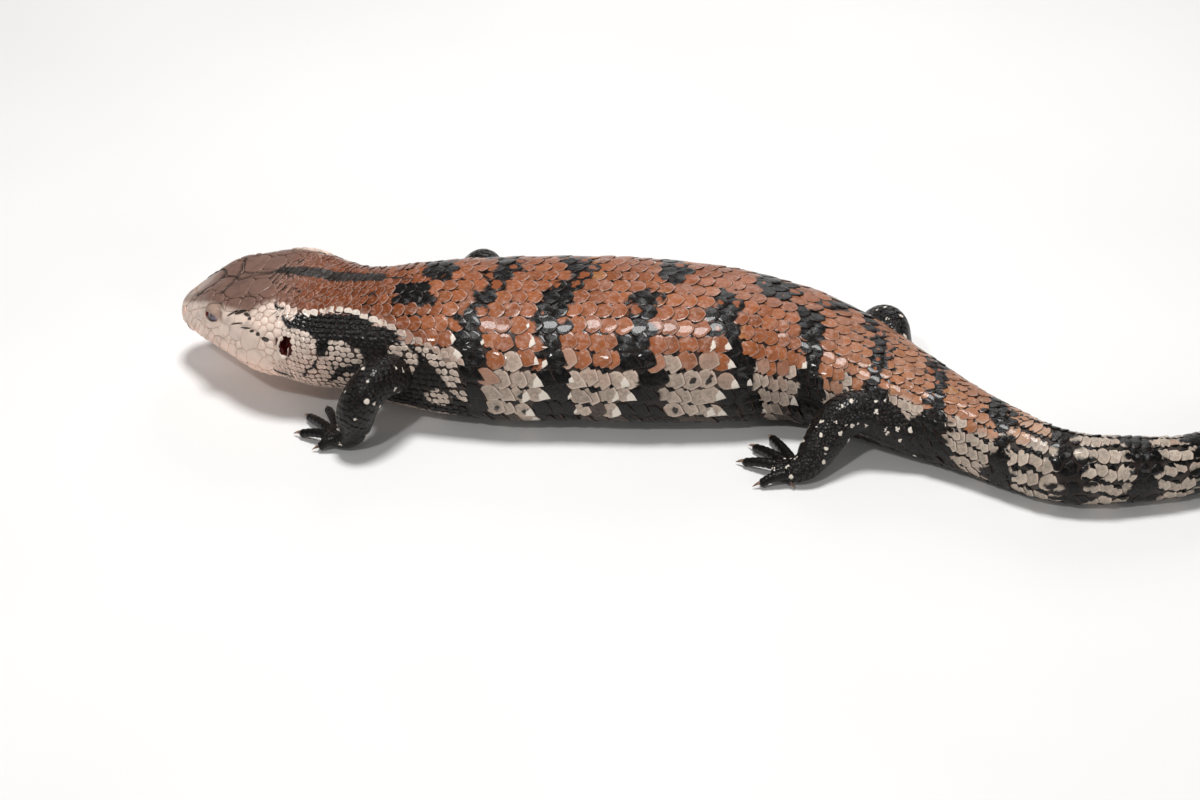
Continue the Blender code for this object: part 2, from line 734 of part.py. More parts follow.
def leg_rings(name):
    """Rings from the leg's root to its knuckles, round at first and flat across the palm."""
    leg = LEGS[name]
    joints = [drawn(p) for p in leg["joints"]]
    points, shares = rounded_path(joints, leg["bends"], LEG_RING_STEP)
    palm_width = PALM_HALF_WIDTH[name[:4]]
    palm_direction = (joints[3] - joints[2]).normalized()
    level = Vector((0, 0, 1)).cross(palm_direction).normalized()
    last = len(points) - 1
    tangents = [(points[min(i + 1, last)] - points[max(i - 1, 0)]).normalized() for i in range(last + 1)]
    wides = [(level - tangents[last] * level.dot(tangents[last])).normalized()]
    for i in range(last, 0, -1):
        wides.insert(0, tangents[i].rotation_difference(tangents[i - 1]) @ wides[0])
    rings = []
    for point, share, tangent, wide in zip(points, shares, tangents, wides):
        thick = tangent.cross(wide)
        radius = np.interp(share, range(4), leg["radii"])
        flat = min(1.0, max(0.0, share - PALM_FROM) / PALM_OVER)
        half_wide = radius + (palm_width - radius) * flat
        half_thick = radius + (PALM_HALF_HEIGHT - radius) * flat
        ring = []
        for k in range(LEG_SIDES):
            a = 2 * math.pi * k / LEG_SIDES
            place = point + wide * half_wide * math.cos(a) + thick * half_thick * math.sin(a)
            place.z = max(place.z, LEG_LOWEST)
            ring.append(place * MM)
        rings.append(ring)
    return rings, shares


def split_rings(rings, shares, at):
    """Two lists of rings parted at a share of the path, with half the gap taken from each."""
    k = next(i for i, share in enumerate(shares) if share >= at)
    before, after = rings[k - 1], rings[k]
    length = (sum(after, Vector()) - sum(before, Vector())).length / len(after)
    t = (at - shares[k - 1]) / (shares[k] - shares[k - 1])
    half = GAP / 2 / length

    def ring_at(t):
        return [a.lerp(b, t) for a, b in zip(before, after)]

    t = min(max(t, LEAST_PART), 1 - LEAST_PART)
    return rings[:k] + [ring_at(t - half)], [ring_at(t + half)] + rings[k:]


def toe(name, root, tip, radius):
    """A toe and its claw, as two closed pieces that overlap."""
    root = Vector((root.x, root.y, TOE_ROOT_Z))
    tip = Vector((tip.x, tip.y, TOE_TIP_RADIUS + TOE_TIP_LIFT))
    along = (tip - root).normalized()
    level = Vector((0, 0, 1)).cross(along).normalized()
    rings = []
    for i in range(TOE_STEPS + 1):
        t = i / TOE_STEPS
        centre = root.lerp(tip, t) + Vector((0, 0, TOE_ARCH * math.sin(math.pi * t)))
        size = radius + (TOE_TIP_RADIUS - radius) * t
        if i == TOE_STEPS:
            size *= TOE_END_SHARE
        up = along.cross(level) * -1
        ring = []
        for k in range(TOE_SIDES):
            a = 2 * math.pi * k / TOE_SIDES
            place = centre + level * size * math.cos(a) + up * size * math.sin(a)
            place.z = max(place.z, 0.0)
            ring.append(place * MM)
        rings.append(ring)
    body = loft(name, rings, SKIN_BLACK)
    flat = Vector((along.x, along.y, 0)).normalized()
    claw_rings = []
    for i in range(CLAW_STEPS + 1):
        t = i / CLAW_STEPS
        height = CLAW_HEIGHT - CLAW_DROP * t * t
        centre = tip + flat * (CLAW_LENGTH * (t - CLAW_IN)) + Vector((0, 0, height))
        size = CLAW_RADIUS * (1 - t) ** CLAW_TAPER + CLAW_POINT
        ring = []
        for k in range(CLAW_SIDES):
            a = 2 * math.pi * k / CLAW_SIDES
            place = centre + level * size * CLAW_FLAT * math.cos(a) + Vector((0, 0, 1)) * size * math.sin(a)
            ring.append(place * MM)
        claw_rings.append(ring)
    return [body, loft(name + "_claw", claw_rings, SKIN_BLACK)]


def body_cutter(leg):
    """The body beside a leg as one closed piece, grown by the gap and a little for its coarser facets."""
    start, end = ROOT_REACH[leg[:4]]
    count = round((end - start) / CUTTER_STEP)
    rings = [body_ring(start + (end - start) * i / count, GAP / MM + CUTTER_EXTRA) for i in range(count + 1)]
    return loft(leg + "_cutter", rings, SKIN_BLACK)


def make_leg(name):
    """Upper leg, lower leg and foot, each in its own node."""
    rings, shares = leg_rings(name)
    upper_rings, rest = split_rings(rings, shares, ELBOW_AT)
    lower_shares = shares[len(shares) - len(rest) + 1 :]
    lower_rings, foot_rings = split_rings(rest[1:], lower_shares, ANKLE_AT)
    lower_rings.insert(0, rest[0])
    upper = loft(name + "_upper", upper_rings, SKIN_BLACK)
    combine(upper, [body_cutter(name)], "DIFFERENCE")
    lower = loft(name + "_lower", lower_rings, SKIN_BLACK)
    combine(lower, [body_cutter(name)], "DIFFERENCE")
    foot_name = name.replace("leg", "foot")
    foot = loft(foot_name, foot_rings, SKIN_BLACK)
    tips, radius = TOES[name]
    joints = [drawn(p) for p in LEGS[name]["joints"]]
    knuckle = joints[3]
    forward = (joints[3] - joints[2]).normalized()
    forward.z = 0.0
    level = Vector((0, 0, 1)).cross(forward).normalized()
    spread = PALM_HALF_WIDTH[name[:4]] - radius
    pieces = []
    for i, tip in enumerate(tips):
        end = drawn(tip)
        share = sorted_share(tips, i, level, knuckle)
        inward = TOE_ROOT_IN * (TOE_ROOT_FAN[0] + TOE_ROOT_FAN[1] * abs(share))
        root = knuckle + level * spread * share - forward * inward
        pieces += toe(f"{name}_toe{i + 1}", root, end, radius)
    combine(foot, pieces, "UNION")
    return upper, lower, foot


def sorted_share(tips, i, level, knuckle):
    """Where a toe's root lies across the palm, from -1 to 1, in the order of its tip's direction."""
    sides = [(drawn(tip) - knuckle).dot(level) for tip in tips]
    order = sorted(range(len(tips)), key=lambda k: sides[k])
    return 2 * order.index(i) / (len(tips) - 1) - 1


def main():
    clear_scene()
    make_head()
    make_body()
    for name in LEGS:
        make_leg(name)


main()
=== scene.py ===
import itertools
import math

import bmesh
import bpy
import numpy as np
from mathutils import Matrix, Vector
from mathutils.kdtree import KDTree


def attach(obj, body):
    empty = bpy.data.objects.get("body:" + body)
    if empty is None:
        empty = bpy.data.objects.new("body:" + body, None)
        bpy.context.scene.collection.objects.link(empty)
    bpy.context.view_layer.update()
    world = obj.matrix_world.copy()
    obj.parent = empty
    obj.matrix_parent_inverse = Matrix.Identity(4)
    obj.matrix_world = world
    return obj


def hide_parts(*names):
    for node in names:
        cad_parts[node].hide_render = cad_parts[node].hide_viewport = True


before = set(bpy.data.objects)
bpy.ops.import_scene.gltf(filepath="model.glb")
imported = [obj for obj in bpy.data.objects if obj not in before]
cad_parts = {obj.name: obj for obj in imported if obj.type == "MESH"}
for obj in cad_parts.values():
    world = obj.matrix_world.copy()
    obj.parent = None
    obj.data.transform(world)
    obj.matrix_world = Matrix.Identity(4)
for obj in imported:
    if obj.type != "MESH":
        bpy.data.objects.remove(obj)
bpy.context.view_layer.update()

# Blue-tongued skink, resting on its belly. Distances are in millimetres until a mesh is made.
mm = 0.001
rng = np.random.default_rng(7)

body = {
    "snout": (-223.5, 32.3),
    "headYaw": -16.5,
    "bends": ((58, 0), (46, 19.5), (100, -8), (80, -35), (42, 3), (52, 44), (40, 31), (79, 10)),
    "spineStep": 0.5,
    "headRoll": 4.0,
    "rollHeight": 26.0,
    "rollFades": (62.0, 112.0),
    # distance from the snout, half width, lowest, highest and widest height, roundness above and below
    "sections": (
        (0.0, 1.2, 20.3, 22.8, 21.6, 2.0, 2.0),
        (1.2, 5.1, 17.8, 25.9, 21.4, 2.1, 2.0),
        (4.5, 8.8, 15.3, 28.8, 21.2, 2.4, 2.1),
        (10.0, 12.2, 13.7, 33.4, 22.1, 2.8, 2.2),
        (18.0, 17.3, 12.9, 38.4, 23.8, 3.0, 2.3),
        (27.0, 22.2, 12.2, 40.6, 24.4, 3.1, 2.4),
        (36.0, 26.8, 11.6, 43.0, 25.0, 3.1, 2.4),
        (45.0, 28.8, 10.8, 44.4, 25.4, 3.1, 2.4),
        (54.0, 29.0, 9.0, 43.2, 24.4, 3.0, 2.4),
        (62.0, 28.8, 6.6, 41.4, 23.0, 2.9, 2.3),
        (70.0, 27.2, 5.2, 42.6, 22.9, 2.7, 2.3),
        (80.0, 27.7, 3.4, 44.6, 22.7, 2.5, 2.4),
        (92.0, 31.3, 1.0, 46.0, 21.8, 2.3, 2.5),
        (106.0, 34.8, -0.7, 46.8, 20.5, 2.2, 2.7),
        (135.0, 39.6, -0.9, 45.8, 19.1, 2.2, 2.8),
        (170.0, 39.7, -0.9, 46.1, 19.0, 2.2, 2.8),
        (205.0, 36.9, -0.9, 45.5, 18.7, 2.2, 2.8),
        (235.0, 31.3, -0.8, 41.3, 17.2, 2.2, 2.7),
        (258.0, 26.7, -0.7, 36.5, 15.8, 2.2, 2.6),
        (280.0, 22.6, -0.5, 32.9, 14.7, 2.1, 2.4),
        (300.0, 18.3, -0.4, 30.2, 13.9, 2.1, 2.3),
        (325.0, 14.4, -0.3, 27.4, 13.0, 2.1, 2.2),
        (360.0, 12.8, -0.2, 24.9, 12.1, 2.0, 2.1),
        (400.0, 10.7, -0.2, 20.8, 10.1, 2.0, 2.1),
        (435.0, 8.5, -0.2, 16.8, 8.2, 2.0, 2.1),
        (465.0, 5.8, -0.1, 11.5, 5.6, 2.0, 2.1),
        (487.0, 3.2, -0.1, 6.4, 3.1, 2.0, 2.0),
        (495.0, 1.7, -0.1, 3.4, 1.6, 2.0, 2.0),
        (497.0, 0.5, 0.4, 1.4, 0.9, 2.0, 2.0),
    ),
    # soft swellings of the head: place, half sizes and push
    "brow": ((22.0, 14.5, 37.5), (8.5, 6.0, 5.0), 1.4),
    "jowl": ((47.0, 26.0, 23.0), (12.0, 9.0, 10.0), 0.9),
    "cheekDip": ((31.0, 24.0, 30.0), (7.0, 6.0, 6.0), -0.6),
    "foreheadDip": ((22.0, 0.0, 41.0), (14.0, 6.0, 6.0), -0.5),
    "columns": 192,
}

legs = {
    "drawnSnout": (-161.1, 25.3),
    "ringStep": 1.3,
    "sides": 32,
    "palmHalfHeight": 2.9,
    "foreleg_left": {
        "joints": ((-70, -14, 20), (-87, -44, 32), (-91.5, -38, 4.2), (-100, -35, 3.6)),
        "radii": (8.6, 7.6, 5.6, 5.0), "bends": (11.0, 5.5), "palm": 6.0, "toeRadius": 2.1,
        "toes": ((-96, -18), (-103, -16), (-110, -21), (-112, -32), (-104, -41)),
    },
    "foreleg_right": {
        "joints": ((-64, 16, 18), (-42, 50, 30), (-54, 52, 4.2), (-62, 56, 3.6)),
        "radii": (8.6, 7.6, 5.6, 5.0), "bends": (8.0, 5.5), "palm": 6.0, "toeRadius": 2.1,
        "toes": ((-75, 42), (-84, 46), (-87, 53), (-84, 62), (-73, 66)),
    },
    "hindleg_left": {
        "joints": ((120, -46, 10.6), (90, -42, 21.5), (74, -59, 4.6), (65, -56, 3.8)),
        "radii": (9.2, 8.2, 6.0, 5.2), "bends": (12.0, 7.0), "palm": 6.6, "toeRadius": 2.3,
        "toes": ((63.5, -34.5), (56.5, -40.5), (52, -50), (57.5, -63.5), (69, -63)),
    },
    "hindleg_right": {
        "joints": ((110, -20, 11.5), (111, 12, 25), (98, 24, 4.6), (94, 34, 3.8)),
        "radii": (9.0, 7.2, 5.6, 5.2), "bends": (9.0, 6.0), "palm": 6.6, "toeRadius": 2.3,
        "toes": ((84, 29), (80, 39), (84, 50), (98, 49), (107, 37)),
    },
}
legNames = ("foreleg_left", "foreleg_right", "hindleg_left", "hindleg_right")

paints = {
    "rust": (0.290, 0.086, 0.030),
    "orange": (0.40, 0.135, 0.045),
    # the rear rim of the rust scales, partly a paler edge and partly a painted highlight; also the tint of
    # their streaks
    "rim": (0.50, 0.31, 0.24),
    "black": (0.0034, 0.0030, 0.0029),
    "slate": (0.036, 0.031, 0.028),
    "cream": (0.54, 0.43, 0.345),
    "face": (0.88, 0.70, 0.59),
    "throat": (0.96, 0.68, 0.55),
    # pale tips, flecks and rims; the rear rim of the pale scales is partly a painted highlight
    "bright": (0.82, 0.73, 0.63),
    "gold": (0.66, 0.46, 0.26),
    "taupe": (0.20, 0.115, 0.088),
    "snout": (0.42, 0.29, 0.225),
    # dark skin in the seams, also the dark line painted round each scale's edge, which is partly painted shade
    "seam": (0.030, 0.022, 0.019),
    # the belly's dark brown, partly painted shade under the body
    "belly": (0.040, 0.030, 0.025),
    "tailRust": (0.360, 0.151, 0.071),
    "tailPale": (0.53, 0.44, 0.355),
    "tailBeige": (0.50, 0.31, 0.205),
    # dark red inside the ear hole, kept this dark partly as painted shade in the hole
    "earRed": (0.070, 0.004, 0.004),
}


def easing(value, start, end):
    t = np.clip((value - start) / (end - start), 0.0, 1.0)
    return t * t * (3 - 2 * t)


def mix(a, b, share):
    share = np.asarray(share)[..., None]
    return np.asarray(a) * (1 - share) + np.asarray(b) * share


# the body's own chart: s along the spine, share round from the back (0) to the belly (1 left, -1 right)
def curveThrough(at, value, wanted):
    step, slope = np.diff(at), np.diff(value) / np.diff(at)
    left, right = 2 * step[1:] + step[:-1], step[1:] + 2 * step[:-1]
    level = slope[:-1] * slope[1:] <= 0  # no overshoot at a crest or dip
    before, after = np.where(level, 1, slope[:-1]), np.where(level, 1, slope[1:])
    inner = np.where(level, 0.0, (left + right) / (left / before + right / after))
    tangent = np.concatenate(([slope[0]], inner, [slope[-1]]))
    i = np.clip(np.searchsorted(at, wanted, "right") - 1, 0, len(step) - 1)
    t = (wanted - at[i]) / step[i]
    ends = value[i] * (1 + 2 * t) * (1 - t) ** 2 + value[i + 1] * t * t * (3 - 2 * t)
    return ends + step[i] * t * (1 - t) * (tangent[i] * (1 - t) - tangent[i + 1] * t)


def walkSpine():
    turns = []
    for length, turn in body["bends"]:
        count = round(length / body["spineStep"])
        wave = 1 - np.cos(2 * np.pi * (np.arange(count) + 0.5) / count)
        turns.append(np.radians(turn) * wave / count)
    heading = np.radians(body["headYaw"]) + np.concatenate(([0.0], np.cumsum(np.concatenate(turns))))
    x = body["snout"][0] + np.concatenate(([0.0], np.cumsum(np.cos(heading[1:])))) * body["spineStep"]
    y = body["snout"][1] + np.concatenate(([0.0], np.cumsum(np.sin(heading[1:])))) * body["spineStep"]
    return np.arange(len(x)) * body["spineStep"], x, y, heading


spineS, spineX, spineY, spineHeading = walkSpine()
sectionRows = np.array(body["sections"])
sectionColumns = [curveThrough(sectionRows[:, 0], sectionRows[:, k], spineS) for k in range(1, 7)]


def outlinePoint(s, angle):
    width, low, high, widest, above, below = [np.interp(s, spineS, column) for column in sectionColumns]
    up = np.cos(angle)
    power = 2 / np.where(up > 0, above, below)
    reach = np.where(up > 0, high - widest, widest - low)
    side = width * np.sign(np.sin(angle)) * np.abs(np.sin(angle)) ** power
    z = widest + reach * np.sign(up) * np.abs(up) ** power
    push = 0.0
    for name in ("brow", "jowl", "cheekDip", "foreheadDip"):
        (atS, atSide, atZ), (long, wide, tall), size = body[name]
        near = ((s - atS) / long) ** 2 + ((np.abs(side) - atSide) / wide) ** 2 + ((z - atZ) / tall) ** 2
        push = push + size * np.exp(-near)
    grow = 1 + push / np.maximum(np.hypot(side, z - widest), 1.0)
    return side * grow, widest + (z - widest) * grow


def placeOnSpine(s, side, z):
    x, y, heading = [np.interp(s, spineS, row) for row in (spineX, spineY, spineHeading)]
    roll = np.radians(body["headRoll"]) * (1 - easing(s, *body["rollFades"]))
    rise = z - body["rollHeight"]
    z = body["rollHeight"] + rise * np.cos(roll) - side * np.sin(roll)
    side = side * np.cos(roll) + rise * np.sin(roll)
    return np.stack((x + np.sin(heading) * side, y - np.cos(heading) * side, z), axis=-1)


def makeSheet(points):
    # a closed tube of points with its normals and its steps, so that anything can be laid on it
    along = np.gradient(points, axis=0)
    around = (np.roll(points, -1, 1) - np.roll(points, 1, 1)) / 2
    normal = np.cross(around, along)
    normal /= np.maximum(np.linalg.norm(normal, axis=-1, keepdims=True), 1e-9)
    middle = points.mean(axis=1, keepdims=True)
    if ((points - middle) * normal).sum() < 0:
        normal = -normal
    return {
        "points": points,
        "normals": normal,
        "along": np.maximum(np.linalg.norm(along, axis=-1), 1e-4),
        "around": np.maximum(np.linalg.norm(around, axis=-1), 1e-4),
    }


def sample(grid, u, v):
    rows, columns = grid.shape[:2]
    u = np.clip(u, 0, rows - 1.001)
    v = np.mod(v, columns)
    i, j = u.astype(int), np.floor(v).astype(int) % columns
    fu, fv = u - i, v - np.floor(v)
    if grid.ndim == 3:
        fu, fv = fu[..., None], fv[..., None]
    k = (j + 1) % columns
    near = grid[i, j] * (1 - fv) + grid[i, k] * fv
    far = grid[i + 1, j] * (1 - fv) + grid[i + 1, k] * fv
    return near * (1 - fu) + far * fu


def onSheet(sheet, u, v, lift):
    return sample(sheet["points"], u, v) + sample(sheet["normals"], u, v) * np.asarray(lift)[..., None]


bodyRows = np.concatenate((np.arange(0, 4, 0.4), np.arange(4, 62, 0.8), np.arange(62, 497.01, 1.5)))
angleSteps = np.linspace(0, np.pi, 241)


def makeBodySheet():
    s = bodyRows[:, None] + 0 * angleSteps[None, :]
    side, z = outlinePoint(s, np.broadcast_to(angleSteps, s.shape))
    flat = np.maximum(z, 0.0)
    legsOf = np.hypot(np.diff(side), np.diff(flat))
    length = np.concatenate((np.zeros((len(bodyRows), 1)), np.cumsum(legsOf, axis=1)), axis=1)
    half = body["columns"] // 2
    shares = np.arange(-half, half) / half
    points = []
    for row, measured in enumerate(length):
        angle = np.interp(np.abs(shares) * measured[-1], measured, angleSteps) * np.where(shares < 0, -1, 1)
        outline = outlinePoint(np.full(len(shares), bodyRows[row]), angle)
        points.append(placeOnSpine(np.full(len(shares), bodyRows[row]), *outline))
    points = np.array(points)
    points[..., 2] = np.maximum(points[..., 2], 0.0)
    return makeSheet(points), length[:, -1]


bodySheet, halfGirths = makeBodySheet()


def halfGirth(s):
    return np.interp(s, bodyRows, halfGirths)


def bodyAt(s, share, lift=0.0):
    u = np.interp(s, bodyRows, np.arange(len(bodyRows)))
    half = body["columns"] / 2
    return onSheet(bodySheet, u, share * half + half, lift + 0 * u)


def arcAtHeight(s, z):
    # arc over the left side from the crown down to a height on the section at s
    shares = np.linspace(0, 1, 200)
    side, height = outlinePoint(np.full(200, s), np.interp(shares, (0, 1), (0, np.pi)))
    length = np.concatenate(([0.0], np.cumsum(np.hypot(np.diff(side), np.diff(height)))))
    return float(np.interp(-z, -height, length))


def headFrame(s, arc, side):
    # a place on the head with its forward, upward and outward directions
    share = side * arc / halfGirth(s)
    step = side * 0.01
    back, ahead, above, below = bodyAt(np.array([s - 0.5, s + 0.5, s, s]),
                                       share + np.array([0.0, 0.0, -step, step]))
    here = bodyAt(np.array([s]), np.array([share]))[0]
    forward = Vector(back - ahead).normalized()
    up = Vector(above - below)
    up = (up - forward * up.dot(forward)).normalized()
    out = forward.cross(up).normalized()
    if out.dot(Vector(bodyAt(np.array([s]), np.array([share]), 1.0)[0] - here)) < 0:
        out = -out
    return Vector(here), forward, up, out


head = {
    # how far back the shields of the head reach, by share, before the scales of the neck begin
    "end": ((0.0, 41.0), (0.12, 42.5), (0.20, 46.0), (0.28, 50.0), (0.34, 52.0), (0.46, 52.0), (0.56, 49.5),
            (0.66, 47.0), (1.0, 44.0)),
    # s, arc from the crown's middle line, and hold; those off the middle come in pairs
    "crown": (
        (13.2, 0.0, 6.4), (27.6, 0.0, 2.4), (36.4, 0.0, 2.6), (5.6, 3.6, 3.0), (21.6, 5.6, 4.8),
        (11.4, 10.6, 3.0), (16.6, 12.0, 3.6), (22.4, 14.4, 3.2), (29.0, 8.6, 6.2), (30.4, 17.2, 3.4),
        (37.2, 8.2, 5.2), (36.0, 17.4, 3.6), (42.6, 3.6, 3.0), (42.4, 11.4, 3.6),
    ),
    # dark lines along some of the crown's seams: s and share of each point, then strength and half width in mm
    "crownLines": (
        (((9.2, 0.17), (11.0, 0.188), (14.0, 0.14), (16.6, 0.105), (18.2, 0.06), (19.0, 0.0)), 0.80, 0.42),
        (((24.6, 0.02), (24.4, 0.10), (23.0, 0.20)), 0.75, 0.40),
        (((19.0, 0.0), (24.6, 0.0)), 0.70, 0.30),
        (((24.6, 0.015), (27.0, 0.034), (31.4, 0.012), (40.0, 0.0)), 0.60, 0.30),
    ),
    "upperLabials": (4.4, 6.4, 8.4, 10.5, 12.8, 15.4, 18.4, 21.8, 25.8, 30.4, 35.4),
    "lowerLabials": (4.4, 8.6, 13.2, 18.0, 23.0, 28.2, 33.6),
    "upperLip": (3.5, 3.8),
    "lowerLip": (2.4, 3.1),
    "mouthFront": 18.2, "mouthCorner": 20.6, "mouthCornerS": 38.0,
    "face": (
        (7.4, 9.8, 2.6), (9.6, 14.6, 2.8), (14.0, 17.0, 2.6), (16.0, 21.6, 2.2), (29.6, 22.6, 2.8),
        (27.2, 27.6, 2.8), (22.2, 28.2, 2.4), (18.0, 26.2, 2.1), (35.6, 23.2, 3.0), (33.4, 28.8, 3.6),
        (40.2, 32.6, 4.4), (41.6, 39.8, 4.2), (46.2, 42.6, 3.4),
    ),
    "eye": (21.2, 20.9, 5.6),
    "ear": (54.5, 32.0, 4.0),
    "nostril": (3.4, 9.4, 1.5),
    "chin": ((4.5, 3.0), (9.8, 3.6), (16.0, 4.2), (23.0, 4.6), (30.0, 4.8)),
    "fill": 3.2,
    # corners round a plate, half the box it starts from, how far its neighbours may lie, and its least size
    "sides": 28, "box": 14, "neighbours": 26, "least": 0.8,
    "seam": 0.12,
    "lipSeam": 0.55,
    "thick": 0.7,
    "crownRise": 0.34,
    "faceRise": 0.10,
    "lipRise": 0.20,
    "grainRise": 0.55,
    # where the brown of the crown ends on the side of the head, as s and share
    "brownTo": ((0, 0.20), (8, 0.26), (16, 0.29), (26, 0.30), (38, 0.30), (42, 0.25), (46, 0.21), (52, 0.205),
                (60, 0.205)),
    # the tip: one cap above the mouth and one below it, that meet the other plates at this distance
    "capEnd": 2.0,
    "capShare": 0.80,
}


def crownEnd(share):
    return np.interp(np.abs(share), *zip(*head["end"]))


def mouthArc(s):
    t = min(max(s / head["mouthCornerS"], 0.0), 1.0)
    return arcAtHeight(s, head["mouthFront"] + (head["mouthCorner"] - head["mouthFront"]) * t**3)


print("chart of the body ready")


# legs and toes as tubes
def drawn(point):
    shiftX, shiftY = body["snout"][0] - legs["drawnSnout"][0], body["snout"][1] - legs["drawnSnout"][1]
    return Vector((point[0] + shiftX, point[1] + shiftY, point[2] if len(point) > 2 else 0.0))


def roundedPath(joints, bends, step):
    points, shares = [], []

    def add(a, b, start, end):
        count = max(1, round((b - a).length / step))
        for i in range(count):
            points.append(a.lerp(b, i / count))
            shares.append(start + (end - start) * i / count)

    here, share = joints[0], 0.0
    for k, radius in enumerate(bends, start=1):
        before = (joints[k] - joints[k - 1]).normalized()
        after = (joints[k + 1] - joints[k]).normalized()
        turn = before.angle(after)
        tangent = radius * math.tan(turn / 2)
        enter, leave = joints[k] - before * tangent, joints[k] + after * tangent
        add(here, enter, share, k - 0.15)
        centre = enter + (after - before * before.dot(after)).normalized() * radius
        axis = before.cross(after).normalized()
        arcSteps = max(3, round(radius * turn / step))
        for i in range(arcSteps):
            points.append(centre + Matrix.Rotation(turn * i / arcSteps, 3, axis) @ (enter - centre))
            shares.append(k - 0.15 + 0.3 * i / arcSteps)
        here, share = leave, k + 0.15
    add(here, joints[-1], share, len(joints) - 1)
    return points + [joints[-1]], shares + [float(len(joints) - 1)]


def makeLegSheet(name):
    leg = legs[name]
    joints = [drawn(p) for p in leg["joints"]]
    points, shares = roundedPath(joints, leg["bends"], legs["ringStep"])
    direction = (joints[3] - joints[2]).normalized()
    for ahead, share in ((1.0, 3.02), (1.8, 3.05), (2.2, 3.08)):  # the front of the palm, rounded off
        points.append(joints[3] + direction * ahead)
        shares.append(share)
    level = Vector((0, 0, 1)).cross(direction).normalized()
    last = len(points) - 1
    tangents = [(points[min(i + 1, last)] - points[max(i - 1, 0)]).normalized() for i in range(last + 1)]
    wides = [(level - tangents[last] * level.dot(tangents[last])).normalized()]
    for i in range(last, 0, -1):
        wides.insert(0, tangents[i].rotation_difference(tangents[i - 1]) @ wides[0])
    angles = 2 * np.pi * np.arange(legs["sides"]) / legs["sides"]
    rings = []
    for point, share, tangent, wide in zip(points, shares, tangents, wides):
        radius = np.interp(share, (0, 1, 2, 3, 3.02, 3.05, 3.08), (*leg["radii"], 4.4, 3.2, 1.2))
        shrink = np.interp(share, (3.0, 3.02, 3.05, 3.08), (1.0, 0.93, 0.75, 0.3))
        flat = min(1.0, max(0.0, share - 1.75) / 0.6)
        halfWide = radius + (leg["palm"] * shrink - radius) * flat
        halfThick = radius + (legs["palmHalfHeight"] * shrink - radius) * flat
        ring = np.array(point) + np.outer(np.cos(angles), wide) * halfWide
        ring += np.outer(np.sin(angles), tangent.cross(wide)) * halfThick
        ring[:, 2] = np.maximum(ring[:, 2], 0.5)
        rings.append(ring)
    return makeSheet(np.array(rings)), np.array(shares)


toes = {
    "rootHeight": 4.4, "arch": 0.9, "tipRadius": 1.55, "rootIn": 3.0, "sides": 14, "rings": 26,
    "clawLength": 3.6, "clawRadius": 0.85, "scutes": 7, "scuteRise": 0.10,
}


def toeRoots(name):
    leg = legs[name]
    joints = [drawn(p) for p in leg["joints"]]
    forward = joints[3] - joints[2]
    forward.z = 0.0
    forward.normalize()
    level = Vector((0, 0, 1)).cross((joints[3] - joints[2]).normalized()).normalized()
    sides = [(drawn(tip) - joints[3]).dot(level) for tip in leg["toes"]]
    order = sorted(range(5), key=lambda k: sides[k])
    for i, tip in enumerate(leg["toes"]):
        across = 2 * order.index(i) / 4 - 1
        root = joints[3] + level * (leg["palm"] - leg["toeRadius"]) * across
        root -= forward * toes["rootIn"] * (0.4 + 0.9 * abs(across))
        tip = drawn(tip)
        yield Vector((root.x, root.y, toes["rootHeight"])), Vector((tip.x, tip.y, toes["tipRadius"] + 0.1))


def makeToeSheet(root, tip, radius):
    along = (tip - root).normalized()
    level = Vector((0, 0, 1)).cross(along).normalized()
    up = level.cross(along) * -1
    angles = 2 * np.pi * np.arange(toes["sides"]) / toes["sides"]
    rings = []
    for i in range(toes["rings"] + 1):
        t = i / toes["rings"]
        centre = root.lerp(tip, t) + Vector((0, 0, toes["arch"] * math.sin(math.pi * t)))
        size = radius + (toes["tipRadius"] - radius) * t
        size += toes["scuteRise"] * (math.sin(2 * math.pi * toes["scutes"] * t) - 0.6)
        size *= math.sqrt(max(0.03, 1 - max(0.0, (t - 0.9) / 0.1) ** 2))
        ring = np.array(centre) + np.outer(np.cos(angles), level) * size + np.outer(np.sin(angles), up) * size
        ring[:, 2] = np.maximum(ring[:, 2], 0.0)
        rings.append(ring)
    return makeSheet(np.array(rings))


legSheets = {name: makeLegSheet(name) for name in legNames}
toeEnds = {name: list(toeRoots(name)) for name in legNames}
toeSheets = [makeToeSheet(root, tip, legs[n]["toeRadius"]) for n in legNames for root, tip in toeEnds[n]]


# making meshes
def finishMesh(name, bm, material=None):
    mesh = bpy.data.meshes.new(name)
    bm.to_mesh(mesh)
    bm.free()
    piece = bpy.data.objects.new(name, mesh)
    bpy.context.scene.collection.objects.link(piece)
    if material:
        mesh.materials.append(material)
    mesh.shade_smooth()
    return piece


def tubeMesh(name, sheet, lift=0.0):
    # a grid laid on the sheet, its long edges and its two ends closed
    points = sheet["points"] + sheet["normals"] * np.broadcast_to(lift, sheet["points"].shape[:2])[..., None]
    points = np.concatenate((points, points[:, :1]), axis=1)
    rows, columns = points.shape[:2]
    bm = bmesh.new()
    bmesh.ops.create_grid(bm, x_segments=rows - 1, y_segments=columns - 1, size=0.5)
    order = sorted(bm.verts, key=lambda v: (round(v.co.x, 6), v.co.y))
    for vert, place in zip(order, points.reshape(-1, 3)):
        vert.co = place * mm
    bmesh.ops.remove_doubles(bm, verts=bm.verts, dist=1e-7)
    bmesh.ops.holes_fill(bm, edges=[e for e in bm.edges if e.is_boundary], sides=0)
    bmesh.ops.recalc_face_normals(bm, faces=bm.faces)
    return finishMesh(name, bm)


